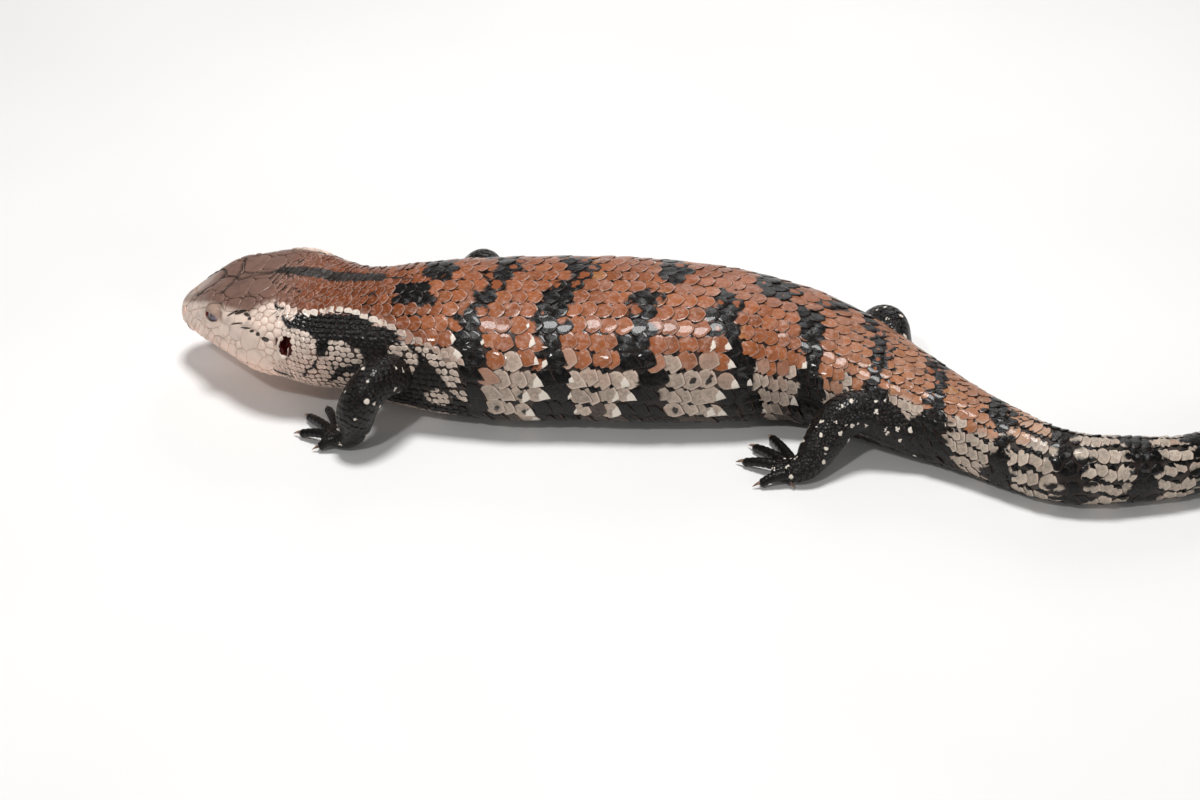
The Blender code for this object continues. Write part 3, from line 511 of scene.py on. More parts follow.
def settle(bm, centre, axes, sizes=(1.0, 1.0, 1.0)):
    # stretches a shape, turns it to three axes and moves it to its place
    turn = Matrix([Vector(a) for a in axes]).transposed().to_4x4()
    place = Matrix.Translation(Vector(centre)) @ turn @ Matrix.Diagonal((*sizes, 1.0))
    bmesh.ops.transform(bm, matrix=place, verts=bm.verts)
    bmesh.ops.scale(bm, vec=(mm, mm, mm), verts=bm.verts)
    bmesh.ops.recalc_face_normals(bm, faces=bm.faces)


def ballMesh(name, centre, halfSizes, axes, segments=32):
    bm = bmesh.new()
    bmesh.ops.create_uvsphere(bm, u_segments=segments, v_segments=segments // 2, radius=1.0)
    settle(bm, centre, axes, halfSizes)
    return finishMesh(name, bm)


def rightHanded(along, across, out):
    return (along, across, out) if along.cross(across).dot(out) > 0 else (-along, across, out)


def readPlaces(piece):
    places = np.empty(len(piece.data.vertices) * 3)
    piece.data.vertices.foreach_get("co", places)
    return places.reshape(-1, 3) / mm


def store(mesh, key, values):
    # four numbers for each point are a colour, three are a place
    kind, field = ("FLOAT_COLOR", "color") if values.shape[-1] == 4 else ("FLOAT_VECTOR", "vector")
    layer = mesh.attributes.new(key, kind, "POINT")
    layer.data.foreach_set(field, np.ascontiguousarray(values, dtype=np.float32).ravel())


def joined(values, last):
    # one more number for each colour or place
    return np.concatenate((values, np.broadcast_to(last, values.shape[:-1])[..., None]), axis=-1)


def combine(piece, others, operation):
    group = bpy.data.collections.new("group")
    for other in others:
        group.objects.link(other)
    change = piece.modifiers.new(operation, "BOOLEAN")
    change.operation, change.operand_type, change.solver = operation, "COLLECTION", "MANIFOLD"
    change.collection = group
    mesh = bpy.data.meshes.new_from_object(piece.evaluated_get(bpy.context.evaluated_depsgraph_get()))
    piece.modifiers.clear()
    piece.data = mesh
    for other in list(others):
        bpy.data.objects.remove(other, do_unlink=True)
    bpy.data.collections.remove(group)
    print(operation, len(mesh.polygons), "faces")


# finishes
gloss = {"specular": 0.16, "coatRoughness": 0.06}


def newMaterial(name, roughness, coat=0.0):
    made = bpy.data.materials.new(name)
    made.use_nodes = True
    shader = made.node_tree.nodes["Principled BSDF"]
    shader.inputs["Roughness"].default_value = roughness
    shader.inputs["Specular IOR Level"].default_value = gloss["specular"]
    shader.inputs["Coat Weight"].default_value = coat
    shader.inputs["Coat Roughness"].default_value = gloss["coatRoughness"]
    return made, made.node_tree, shader


def node(tree, kind, **settings):
    made = tree.nodes.new(kind)
    for key, value in settings.items():
        setattr(made, key, value)
    return made


def treeOf(*values):
    return next(value.id_data for value in values if hasattr(value, "is_output"))


def feed(socket, value):
    # links an output, or sets a number or a colour
    if hasattr(value, "is_output"):
        socket.id_data.links.new(value, socket)
    elif isinstance(value, (int, float)):
        socket.default_value = value
    elif value is not None:
        socket.default_value = (*value, 1.0)


def maths(operation, a, b=None, clamp=False):
    made = node(treeOf(a, b), "ShaderNodeMath", operation=operation, use_clamp=clamp)
    feed(made.inputs[0], a)
    feed(made.inputs[1], b)
    return made.outputs[0]


def times(a, b, clamp=False):
    return maths("MULTIPLY", a, b, clamp)


def plus(a, b):
    return maths("ADD", a, b)


def minus(a, b):
    return maths("SUBTRACT", a, b)


def between(value, low, high):
    # 0 below low, 1 above high, soft in between
    made = node(value.id_data, "ShaderNodeMapRange", interpolation_type="SMOOTHSTEP")
    for key, given in (("Value", value), ("From Min", low), ("From Max", high)):
        feed(made.inputs[key], given)
    return made.outputs["Result"]


def blendColour(share, a, b):
    made = node(treeOf(share, a, b), "ShaderNodeMix", data_type="RGBA")
    for slot, given in ((0, share), (6, a), (7, b)):  # the colour version's factor, A and B
        feed(made.inputs[slot], given)
    return made.outputs[2]


def layered(colour, layers):
    # lays each share of a colour over the ones before it
    for share, above in layers:
        colour = blendColour(share, colour, above)
    return colour


def split(value, kind="ShaderNodeSeparateXYZ"):
    made = node(value.id_data, kind)
    feed(made.inputs[0], value)
    return made.outputs[:3]


def attribute(tree, name):
    return node(tree, "ShaderNodeAttribute", attribute_name=name)


def objectPlace(tree):
    return node(tree, "ShaderNodeTexCoord").outputs["Object"]


def noise(tree, scale, detail=2.0):
    made = node(tree, "ShaderNodeTexNoise")
    for key, given in (("Scale", scale), ("Detail", detail), ("Vector", objectPlace(tree))):
        feed(made.inputs[key], given)
    return made.outputs["Fac"]


def addBump(tree, shader, height, strength, distance):
    bump = node(tree, "ShaderNodeBump")
    for key, given in (("Strength", strength), ("Distance", distance), ("Height", height)):
        feed(bump.inputs[key], given)
    feed(shader.inputs["Normal"], bump.outputs["Normal"])


faceMarks = {
    # small dark marks as s, share, half length, half height and slant, on both sides alike
    "places": (
        (30.8, 0.318, 2.2, 0.45, 0.9), (34.4, 0.300, 2.6, 0.75, 0.35), (37.6, 0.305, 1.6, 0.7, -1.0),
        (39.4, 0.322, 1.0, 0.7, -1.0), (33.8, 0.364, 2.8, 0.35, -0.2), (38.2, 0.373, 2.2, 0.35, -0.5),
        (41.2, 0.380, 1.0, 0.6, 0.0), (44.0, 0.386, 0.9, 0.8, 0.0), (47.1, 0.402, 1.5, 0.9, 0.0),
        (52.6, 0.277, 1.1, 1.1, 0.0), (49.2, 0.228, 1.0, 0.7, 0.0), (46.8, 0.092, 0.7, 0.6, 0.0),
        (50.8, 0.088, 0.9, 0.7, 0.0), (54.2, 0.086, 0.8, 0.6, 0.0), (57.0, 0.235, 1.0, 0.8, 0.0),
    ),
    "wobbleNoise": 700.0, "wobble": 1.1,  # how a mark's edge wanders
    "slantShare": 0.35,
    "spread": 1.25, "softness": 0.45,
}


def markShare(tree):
    # the share of dark at a point, from the chart stored on the piece: s and mm of arc from the back
    alongBody, arc, _ = split(attribute(tree, "chart").outputs["Vector"])
    wobble = times(minus(noise(tree, faceMarks["wobbleNoise"]), 0.5), faceMarks["wobble"])
    arc = maths("ABSOLUTE", arc)
    total = 0.0
    for s, share, long, tall, slant in faceMarks["places"]:
        along = minus(alongBody, s)
        across = plus(minus(arc, share * float(halfGirth(s))), times(along, slant * faceMarks["slantShare"]))
        away = [maths("POWER", maths("ABSOLUTE", maths("DIVIDE", *pair)), 2.0)
                for pair in ((along, long), (across, tall))]
        total = maths("MAXIMUM", total, minus(faceMarks["spread"], plus(plus(*away), wobble)))
    return between(total, 0.0, faceMarks["softness"])


hideFinish = {
    "roughness": 0.42, "coat": 0.15, "patches": (420.0, 3.0), "patchColour": (0.02, 0.014, 0.012),
    "patchy": 0.25, "marks": 0.9, "cells": 1100.0, "bump": (0.35, 0.00025),
}


def makeSkinPaint():
    made, tree, shader = newMaterial("scaly hide", hideFinish["roughness"], hideFinish["coat"])
    patches = between(noise(tree, *hideFinish["patches"]), 0.3, 0.75)
    colour = layered(attribute(tree, "paint").outputs["Color"], (
        (times(patches, hideFinish["patchy"]), hideFinish["patchColour"]),
        (times(markShare(tree), hideFinish["marks"]), paints["black"]),
    ))
    feed(shader.inputs["Base Color"], colour)
    cells = node(tree, "ShaderNodeTexVoronoi")
    feed(cells.inputs["Scale"], hideFinish["cells"])
    feed(cells.inputs["Vector"], objectPlace(tree))
    addBump(tree, shader, cells.outputs["Distance"], *hideFinish["bump"])
    return made


plateFinish = {
    # each noise's scale and detail
    "fine": (900.0, 3.0), "coarse": (260.0, 2.0), "streak": (720.0, 5.0),
    "grain": 0.55,  # how far the fine noise shifts the edge of a mark
    # how strongly each layer shows
    "darker": 0.55, "mottle": 0.45, "streaks": 0.70, "stain": 0.62, "paleRimAndHighlight": 0.55, "rim": 1.5, "face": 0.92,
    # a spot's edge: its noise and how far that shifts it
    "bodySpots": (260.0, 1.1), "legSpots": (1000.0, 2.6),
    "spotCentre": 0.22, "spotWidth": 0.55, "tipLean": 0.35, "cornerLean": 0.7, "cornerPlace": 0.05,
    "growthRings": 3.5, "ringBend": 2.0, "ringRelief": 0.25, "fineRelief": 0.9, "coarseRelief": 2.4,
    "bump": (0.42, 0.00024),
}


def grownMark(place, size, soft=0.05):
    # a mark that covers the part of a scale beyond 1 - size, and is absent where its size is 0
    return times(between(minus(place, minus(1.0, size)), -0.04, soft), between(size, 0.01, 0.05))


def makePlatePaint(name, roughness, coat, outline, marked=False, spots="bodySpots"):
    # stored on each scale: base is its colour and how light its rim is, mark its inner spot's colour and size,
    # extra the sizes of its black corner, pale tip and black side, and plate the place on the scale
    made, tree, shader = newMaterial(name, roughness, coat)
    base, mark, extra, plate = (attribute(tree, key) for key in ("base", "mark", "extra", "plate"))
    along, across, edge = split(plate.outputs["Vector"])
    corner, tip, flank = split(extra.outputs["Color"], "ShaderNodeSeparateColor")
    own, rimShare, spotSize = base.outputs["Color"], base.outputs["Alpha"], mark.outputs["Alpha"]
    fine, coarse, streak = (noise(tree, *plateFinish[key]) for key in ("fine", "coarse", "streak"))
    grain = times(minus(fine, 0.5), plateFinish["grain"])
    side = maths("ABSOLUTE", across)
    dark = blendColour(plateFinish["darker"], own, (0.0, 0.0, 0.0))
    # only the pale scales of the body and tail get stains and a bright rear rim, partly a paler edge and partly
    # a painted highlight
    pale = times(between(split(own, "ShaderNodeSeparateColor")[2], 0.12, 0.28), outline)
    stain = times(between(fine, 0.36, 0.62), between(edge, 0.95, 0.45))
    rear = between(along, -0.10, 0.35)
    paleRimAndHighlight = times(between(edge, 0.74, 0.90), rear)
    # the rear rim: partly a paler edge, partly a painted highlight
    rim = times(between(edge, 0.84, 0.95), times(rimShare, plateFinish["rim"], clamp=True))
    fromSpot = maths("POWER", maths("ABSOLUTE", minus(along, plateFinish["spotCentre"])), 2.0)
    fromSpot = maths("SQRT", plus(fromSpot, times(maths("POWER", side, 2.0), plateFinish["spotWidth"])))
    spotNoise, spotShift = plateFinish[spots]
    blur = times(minus(noise(tree, spotNoise), 0.5), spotShift)
    spot = between(minus(spotSize, plus(fromSpot, plus(grain, blur))), -0.06, 0.08)
    tipPlace = minus(plus(along, times(grain, 0.6)), times(side, plateFinish["tipLean"]))
    toCorner = times(maths("ABSOLUTE", minus(along, plateFinish["cornerPlace"])), plateFinish["cornerLean"])
    sideGrain = times(grain, 0.5)
    layers = [
        (times(between(coarse, 0.45, 0.75), plateFinish["mottle"]), dark),
        (times(between(streak, 0.48, 0.66), times(rimShare, plateFinish["streaks"])), paints["rim"]),
        (times(stain, times(pale, plateFinish["stain"])), dark),
        (times(paleRimAndHighlight, times(pale, plateFinish["paleRimAndHighlight"])), paints["bright"]),
        (times(rim, rear), paints["rim"]),
        # a dark line round each scale's edge: partly the seam's dark skin, partly painted shade where scales
        # meet
        (times(between(edge, 0.93, 0.985), outline), paints["seam"]),
        (times(spot, between(spotSize, 0.01, 0.05)), mark.outputs["Color"]),
        (grownMark(tipPlace, tip, 0.06), paints["bright"]),
        (grownMark(plus(minus(side, toCorner), sideGrain), corner), paints["black"]),
        (grownMark(plus(side, sideGrain), flank), paints["black"]),
    ]
    if marked:
        layers.append((times(markShare(tree), plateFinish["face"]), paints["black"]))
    feed(shader.inputs["Base Color"], layered(own, layers))
    growth = node(tree, "ShaderNodeTexWave", wave_type="RINGS")
    for key, given in (("Scale", plateFinish["growthRings"]), ("Distortion", plateFinish["ringBend"]),
                       ("Vector", plate.outputs["Vector"])):
        feed(growth.inputs[key], given)
    height = plus(times(growth.outputs["Fac"], plateFinish["ringRelief"]),
                  times(fine, plateFinish["fineRelief"]))
    height = plus(height, times(coarse, plateFinish["coarseRelief"]))
    addBump(tree, shader, height, *plateFinish["bump"])
    return made


skinPaint = makeSkinPaint()
# roughness, coat and the strength of the dark line round each scale, partly the seam's dark skin and partly
# painted shade
scalePaint = makePlatePaint("glossy overlapping scales", 0.24, 0.18, 0.85)
shieldPaint = makePlatePaint("smooth head shields", 0.28, 0.20, 0.0, marked=True)
legPaint = makePlatePaint("small black leg scales", 0.26, 0.24, 0.3, spots="legSpots")


# the pattern, all of it in the body's own chart
pattern = {
    # where the pattern's middle line runs, as s and share
    "middle": ((0, 0.0), (40, 0.0), (50, -0.03), (62, -0.095), (84, -0.095), (100, -0.03), (112, 0.0),
               (497, 0.0)),
    # each band: share, s and half width down the left side, then the same on the right
    "bands": (
        (((0.04, 94, 0), (0.06, 94.5, 6.5), (0.17, 95.5, 6.5), (0.19, 96, 0)),
         ((0, 104, 5.5), (0.2, 105, 5.5), (0.3, 100, 4), (0.42, 101, 0))),
        (((0, 126, 4), (0.1, 120.5, 4), (0.2, 114, 4), (0.35, 114, 3.4), (0.45, 116, 4.5), (0.6, 118, 7)),
         ((0, 127, 5), (0.1, 129.5, 5.5), (0.2, 128, 5), (0.35, 121, 4), (0.45, 122, 5), (0.6, 123, 7))),
        (((0, 154, 3), (0.07, 150, 7), (0.2, 144.5, 5.5), (0.4, 146, 5.2), (0.5, 147, 6), (0.62, 148, 10)),
         ((0, 156, 5), (0.1, 157, 5), (0.2, 155, 5), (0.35, 150, 4.5), (0.5, 151, 6), (0.62, 152, 9))),
        (((0.03, 182, 0), (0.06, 181, 5.4), (0.2, 181, 5), (0.4, 182.5, 5.5), (0.5, 184, 6.5),
          (0.62, 185, 11)),
         ((0.02, 191, 4), (0.1, 192, 6), (0.2, 190, 5), (0.35, 186, 4.5), (0.5, 187, 6), (0.62, 188, 9))),
        (((0.03, 213, 0), (0.06, 213, 6), (0.2, 212, 5), (0.32, 217, 5.5), (0.45, 220, 6.5), (0.6, 222, 11)),
         ((0.02, 230, 6), (0.1, 230, 8), (0.2, 226, 5), (0.35, 221, 5), (0.5, 222, 6), (0.62, 223, 9))),
        (((0.01, 244, 0), (0.03, 244.5, 5), (0.12, 247, 6), (0.22, 252, 5), (0.32, 256.5, 4.5),
          (0.45, 258.5, 5), (0.6, 259, 9)),
         ((0.0, 245, 0), (0.2, 251, 5), (0.35, 254, 5), (0.5, 256, 6), (0.62, 257, 9))),
        (((0, 273, 4.5), (0.1, 278, 3.6), (0.2, 280.5, 3.2), (0.32, 283, 4.5), (0.5, 284, 8), (0.7, 284, 12)),
         ((0, 273, 4.5), (0.1, 267, 4.2), (0.27, 257, 3.6), (0.4, 262, 5), (0.6, 264, 9))),
        (((0, 299, 4), (0.1, 302, 3), (0.2, 303.5, 2.8), (0.32, 305, 5), (0.5, 306, 9), (0.7, 306, 12)),
         ((0, 299, 4), (0.1, 295, 4), (0.25, 292, 3.4), (0.4, 294, 5), (0.6, 296, 9))),
        (((0, 324.5, 5), (0.1, 327, 5), (0.2, 331, 2.6), (0.4, 332.5, 3.4), (0.6, 333, 6)),
         ((0, 324.5, 5), (0.1, 322, 5), (0.25, 320, 3.6), (0.4, 322, 5), (0.6, 323, 7))),
        (((0, 350, 4.2), (0.15, 352, 4.2), (0.25, 353, 5), (0.4, 354, 3.6), (0.6, 355, 5)),
         ((0, 350, 4.2), (0.2, 346.5, 5.5), (0.5, 347, 5))),
        (((0, 375.5, 5.5), (0.25, 378, 6), (0.4, 376, 5), (0.6, 376, 6)),
         ((0, 375.5, 5.5), (0.2, 374.5, 5.5), (0.5, 374, 5.5))),
        (((0, 400, 5.5), (0.25, 401, 5.8), (0.5, 400, 6)), ((0, 400, 5.5), (0.3, 399, 5.5))),
        (((0, 422, 5), (0.3, 423, 5.5), (0.5, 422, 6)), ((0, 422, 5), (0.3, 421, 5.5))),
        (((0, 442, 4.6), (0.3, 443, 5), (0.5, 442, 5)), ((0, 442, 4.6), (0.3, 441, 5))),
        (((0, 460, 4.2), (0.5, 460.5, 4.6)), ((0, 460, 4.2), (0.5, 459.5, 4.6))),
        (((0, 476, 4), (0.5, 476, 4.2)), ((0, 476, 4), (0.5, 476, 4.2))),
        (((0, 492, 5.5), (0.5, 492, 5.5)), ((0, 492, 5.5), (0.5, 492, 5.5))),
    ),
    # where the flank turns pale, and where it turns dark towards the belly, a darkness that is partly the
    # belly's colour and partly painted shade under the body
    "paleFrom": (
        (52, 0.235), (60, 0.225), (66, 0.185), (76, 0.185), (84, 0.245), (92, 0.30), (100, 0.345),
        (112, 0.39), (250, 0.40), (285, 0.27), (310, 0.27), (330, 0.20), (345, 0.10), (352, 0.0), (497, 0.0),
    ),
    "darkFrom": ((96, 0.60), (130, 0.62), (200, 0.58), (262, 0.52), (285, 0.42), (300, 0.58), (316, 0.66),
                 (340, 0.80), (360, 1.1)),
    # the nape's stripe: s, its middle as a share, and half its width
    "nape": (
        (38.5, -0.015, 0.006), (41.5, -0.03, 0.026), (50, -0.055, 0.038), (60, -0.10, 0.046),
        (68, -0.11, 0.047), (76, -0.095, 0.042), (82, -0.072, 0.036), (83.5, -0.068, 0.012), (95, -0.02, 0.0),
    ),
    # the black patch of the neck's side, whose lowest part round the foreleg's root is painted shade, the bars
    # behind the ear and the pale patches inside, as s and share
    "neckBlack": (
        ((52.5, 0.30), (54, 0.27), (57, 0.235), (60, 0.215), (64, 0.185), (70, 0.17), (76, 0.175),
         (80, 0.205), (84, 0.235), (88, 0.275), (92, 0.315), (97, 0.36), (101, 0.41), (104, 0.455),
         (108, 0.525), (113, 0.555), (116, 0.60), (116, 0.66), (82, 0.66), (80, 0.60), (79.5, 0.50),
         (80.8, 0.43), (79, 0.385), (75, 0.345), (70, 0.345), (69, 0.42), (67.5, 0.44), (66, 0.42),
         (65.5, 0.345), (62, 0.315), (58, 0.31), (54, 0.32)),
        ((66.5, 0.445), (65.8, 0.50), (63, 0.52), (61.5, 0.565), (60.3, 0.55), (62, 0.515), (64.5, 0.49),
         (65.2, 0.455)),
        ((79.5, 0.45), (79.8, 0.49), (76, 0.50), (72.5, 0.545), (70.5, 0.58), (69.3, 0.575), (71, 0.53),
         (73, 0.475), (76, 0.465)),
        ((47, 0.563), (57, 0.568), (57, 0.585), (47, 0.580)),
        ((51, 0.265), (53, 0.265), (53, 0.285), (51, 0.285)),
    ),
    "neckPale": (
        ((87, 0.35), (89, 0.325), (92, 0.33), (95.5, 0.37), (96, 0.41), (94, 0.46), (92.5, 0.44), (90, 0.42),
         (87.5, 0.39)),
        ((97.5, 0.555), (100, 0.525), (103, 0.515), (107, 0.53), (108, 0.56), (105, 0.59), (100, 0.592)),
    ),
    # more black blots as s, share, half length and half height: on the back, and low on the tail's root
    "blots": (
        (94.0, 0.100, 6.0, 0.040), (104.0, -0.065, 6.0, 0.060), (78.5, 0.06, 1.4, 0.012),
        (81.8, 0.065, 1.2, 0.012), (46.8, 0.092, 0.9, 0.010), (50.8, 0.088, 1.1, 0.012),
        (54.2, 0.086, 0.9, 0.010), (57.2, 0.235, 1.4, 0.020), (52.6, 0.277, 1.3, 0.018),
        (49.2, 0.228, 1.0, 0.012), (303.0, 0.40, 6.5, 0.085), (309.0, 0.32, 4.0, 0.050),
        (299.0, 0.47, 3.5, 0.050),
    ),
}


def track(rows, s):
    at, value = zip(*rows)
    return np.interp(s, at, value)


def patternShare(s, share):
    # measured from the pattern's own middle line, fading back to the belly line
    middle = track(pattern["middle"], s)
    return share - middle * np.maximum(1 - np.abs(share), 0.0) ** 0.5


def mirroredShare(s, share):
    # the share at which the left side carries the same marking
    away = np.abs(patternShare(s, share))
    return away + track(pattern["middle"], s) * np.maximum(1 - away, 0.0) ** 0.5


def shareOnSide(s, mirrored, side):
    # the other way round: the share on a side, 1 left or -1 right, for a place given on the left
    middle = track(pattern["middle"], s)
    away, share = np.array(mirrored, dtype=float), np.array(mirrored, dtype=float)
    for _ in range(10):
        away = mirrored - middle * np.maximum(1 - np.abs(away), 0.0) ** 0.5
    for _ in range(10):
        share = side * away + middle * np.maximum(1 - np.abs(share), 0.0) ** 0.5
    return share


def inBand(s, w):
    # how far inside the nearest dark band, in mm, below 0 outside, and whether the place lies before it
    best, before = np.full(np.shape(s), -99.0), np.zeros(np.shape(s))
    for left, right in pattern["bands"]:
        for rows, mine in ((left, w >= 0), (right, w < 0)):
            at = np.array(rows, dtype=float)
            centre, half = np.interp(np.abs(w), at[:, 0], at[:, 1]), np.interp(np.abs(w), at[:, 0], at[:, 2])
            inside = np.where(half > 0.5, half - np.abs(s - centre), -50.0)
            beyond = (np.abs(w) < at[0, 0] - 0.02) | ((np.abs(w) > at[-1, 0]) & (at[-1, 2] == 0))
            inside = np.where(beyond, -50.0, inside)
            take = mine & (inside > best)
            before = np.where(take, s < centre, before)
            best = np.where(take, inside, best)
    return best, before


def insideOutline(outline, s, share):
    # whether each place lies inside a closed outline of s and share
    inside = np.zeros(np.shape(s), dtype=bool)
    for (s0, w0), (s1, w1) in zip(outline, outline[1:] + outline[:1]):
        if s0 == s1:
            continue
        crossed = (s > min(s0, s1)) & (s <= max(s0, s1))
        inside ^= crossed & (share < w0 + (w1 - w0) * (s - s0) / (s1 - s0))
    return inside


def ragged(s, share):
    # shifts a place a little, so that drawn borders wander
    shifted = s + 1.5 * np.sin(share * 70 + s * 0.5) + 0.8 * np.sin(share * 31 - s * 1.3)
    return shifted, share + 0.010 * np.sin(s * 1.1 + share * 30)


def inBlots(s, share):
    s, share = ragged(s, share)
    return np.any([((s - atS) / long) ** 2 + ((share - atShare) / tall) ** 2 < 1
                   for atS, atShare, long, tall in pattern["blots"]], axis=0)


def inNeckBlack(s, mirrored):
    black, pale = (
        np.any([insideOutline(outline, s, mirrored) for outline in pattern[key]], axis=0)
        for key in ("neckBlack", "neckPale")
    )
    return black & ~pale


def inNape(s, share):
    at, middle, half = np.array(pattern["nape"]).T
    return np.abs(share - np.interp(s, at, middle)) < np.interp(s, at, half, left=0.0, right=0.0)


def hueAt(s, share):
    # the flesh colour under and between the markings, before any band
    w = mirroredShare(s, share)
    top = mix(paints["snout"], paints["taupe"], easing(s + 20 * w, 6, 22))
    top = mix(top, paints["rust"] * np.array((0.64, 0.55, 0.48)), easing(s, 38, 60))
    top = mix(top, paints["rust"], easing(s, 84, 112))
    top = mix(top, paints["tailRust"], easing(s, 225, 290))
    top = mix(top, paints["tailBeige"], easing(s, 318, 342))
    top = mix(top, paints["tailPale"], easing(s, 344, 362))
    side = mix(paints["face"], paints["throat"], easing(w, 0.46, 0.62))
    side = mix(side, paints["cream"], easing(s, 84, 116))
    side = mix(side, paints["tailPale"], easing(s, 290, 330))
    pale = track(pattern["paleFrom"], s)
    onHead = s < 54
    brown = track(head["brownTo"], s)
    turn = easing(w, np.where(onHead, brown - 0.03, pale - 0.03), np.where(onHead, brown + 0.03, pale + 0.03))
    return mix(top, side, turn)


print("pattern ready")


# scales: one small plate, laid many times over a sheet
def plateTemplate(sides, rings):
    # a solid disc with rings inside its rim: each corner's ring, its place round the rim, and its face
    bm = bmesh.new()
    bmesh.ops.create_circle(bm, cap_ends=True, segments=sides, radius=1.0)
    faceStart = min(bm.verts, key=lambda v: abs(math.atan2(v.co.y, v.co.x))).co.copy()
    made = bmesh.ops.extrude_face_region(bm, geom=bm.faces[:], use_keep_orig=True)["geom"]
    top = [g for g in made if isinstance(g, bmesh.types.BMFace)]
    bmesh.ops.translate(bm, vec=(0, 0, 1), verts=[v for f in top for v in f.verts])
    outer = 1.0
    for inner in rings:
        bmesh.ops.inset_individual(bm, faces=top, thickness=(outer - inner) * math.cos(math.pi / sides))
        outer = inner
    bmesh.ops.poke(bm, faces=top)
    bmesh.ops.recalc_face_normals(bm, faces=bm.faces)
    bm.verts.index_update()
    places = np.array([v.co for v in bm.verts])
    faces = [[v.index for v in f.verts] for f in bm.faces]
    bm.free()
    reach = np.hypot(places[:, 0], places[:, 1])
    start = math.atan2(faceStart.y, faceStart.x)  # where the circle's first corner lies
    around = np.arctan2(places[:, 1], places[:, 0]) - start
    turn = np.round(around / (2 * np.pi / sides)).astype(int) % sides
    return {"reach": reach, "turn": turn, "top": places[:, 2] > 0.5, "faces": faces}


def joinPlates(name, template, points, attributes, bakeUv, material):
    # points are n plates of the template's corners; the plates become one mesh
    count, corners = points.shape[:2]
    offsets = np.arange(count) * corners
    sizes = np.array([len(f) for f in template["faces"]])
    flat = np.concatenate([np.array(f) for f in template["faces"]])
    loops = (flat[None, :] + offsets[:, None]).ravel()
    totals = np.tile(sizes, count)
    mesh = bpy.data.meshes.new(name)
    mesh.vertices.add(count * corners)
    mesh.vertices.foreach_set("co", (points.reshape(-1, 3) * mm).ravel())
    mesh.loops.add(len(loops))
    mesh.loops.foreach_set("vertex_index", loops)
    mesh.polygons.add(len(totals))
    mesh.polygons.foreach_set("loop_start", np.concatenate(([0], np.cumsum(totals)[:-1])))
    mesh.update(calc_edges=True)
    for key, values in attributes.items():
        store(mesh, key, values)
    layer = mesh.uv_layers.new(name="OFBake")
    layer.data.foreach_set("uv", bakeUv.reshape(-1, 2)[loops].astype(np.float32).ravel())
    piece = bpy.data.objects.new(name, mesh)
    bpy.context.scene.collection.objects.link(piece)
    mesh.materials.append(material)
    mesh.shade_smooth()
    triangles = int((totals - 2).sum())
    print(name, count, "plates", triangles, "triangles")
    return piece


def perCorner(values, corners):
    return np.repeat(values[:, None], corners, axis=1)


# where the plates lie in the bake picture: mm for its whole width, and how far a plate spreads
bake = {"size": 500, "legSize": 300, "spread": 0.0014}


def bakeSpots(across, up, local):
    return np.stack((across, up), axis=1)[:, None, :] + local * bake["spread"]


# half a scale's outline from the rear end to the front, as along and across: back, flank and pale tips
roundRim = ((1.07, 0.0), (0.97, 0.25), (0.82, 0.52), (0.60, 0.80), (0.08, 1.02), (-0.44, 0.86), (-0.84, 0.48))
flankRim = ((1.18, 0.0), (1.03, 0.25), (0.82, 0.52), (0.54, 0.82), (0.10, 1.05), (-0.46, 0.92), (-0.84, 0.50))
pointRim = ((1.42, 0.10), (1.02, 0.30), (0.68, 0.52), (0.36, 0.76), (0.0, 0.90), (-0.46, 0.78), (-0.84, 0.46))


def fullRim(half):
    half = np.array(half)
    back = half[:0:-1] * np.array((1, -1))
    return np.concatenate((half, [(-1.0, 0.0)], back))


scaleTemplate = plateTemplate(14, (0.93, 0.72, 0.36))
scaleShape = {"rim": -0.03, "shoulder": 0.07, "middle": 0.12, "crown": 0.13, "thick": 0.42, "sink": -0.26,
              "tilt": 0.27}


def scaleOffsets(template, shape, rims, halfLong, halfWide, turn, sway=0.0):
    # local along, across and lift of every corner of every scale
    rim = rims[:, template["turn"], :] * template["reach"][None, :, None]
    along, across = rim[..., 0] * halfLong[:, None], rim[..., 1] * halfWide[:, None]
    cos, sin = np.cos(turn)[:, None], np.sin(turn)[:, None]
    heights = [shape[key] for key in ("crown", "crown", "middle", "shoulder", "rim")]
    crown = np.interp(template["reach"], (0.0, 0.36, 0.72, 0.93, 1.0), heights)
    lift = np.where(template["top"], crown, -shape["thick"])[None, :]
    lift = lift + shape["sink"] + shape["tilt"] * rim[..., 0]
    if sway:
        roll = (rng.random((2, len(rims), 1)) - 0.5) * 2 * sway
        lift = lift + roll[0] * rim[..., 0] + roll[1] * rim[..., 1]
    return along * cos - across * sin, along * sin + across * cos, lift, rim


def scaleRows(spans):
    # rows that run the body's length, each one half a scale behind its neighbours
    found = []
    for start, end, rows, first, pitch in spans:
        at = [start]
        while at[-1] < end:
            at.append(at[-1] + float(track(pitch, at[-1])))
        at = np.array(at[:-1])
        here = np.interp(at, *zip(*pitch))
        for k in range(rows):
            share = (k + first) / rows * 2 - 1
            slant = scales["slant"] * max(0.0, abs(share) - 0.2) * rows / 2 if start < 262 else 0.0
            row = at + (0.5 * k - slant) % 1 * here, np.full(len(at), share), np.full(len(at), 1.0 / rows), here
            found.append(np.stack(row, axis=1))
    return np.concatenate(found)


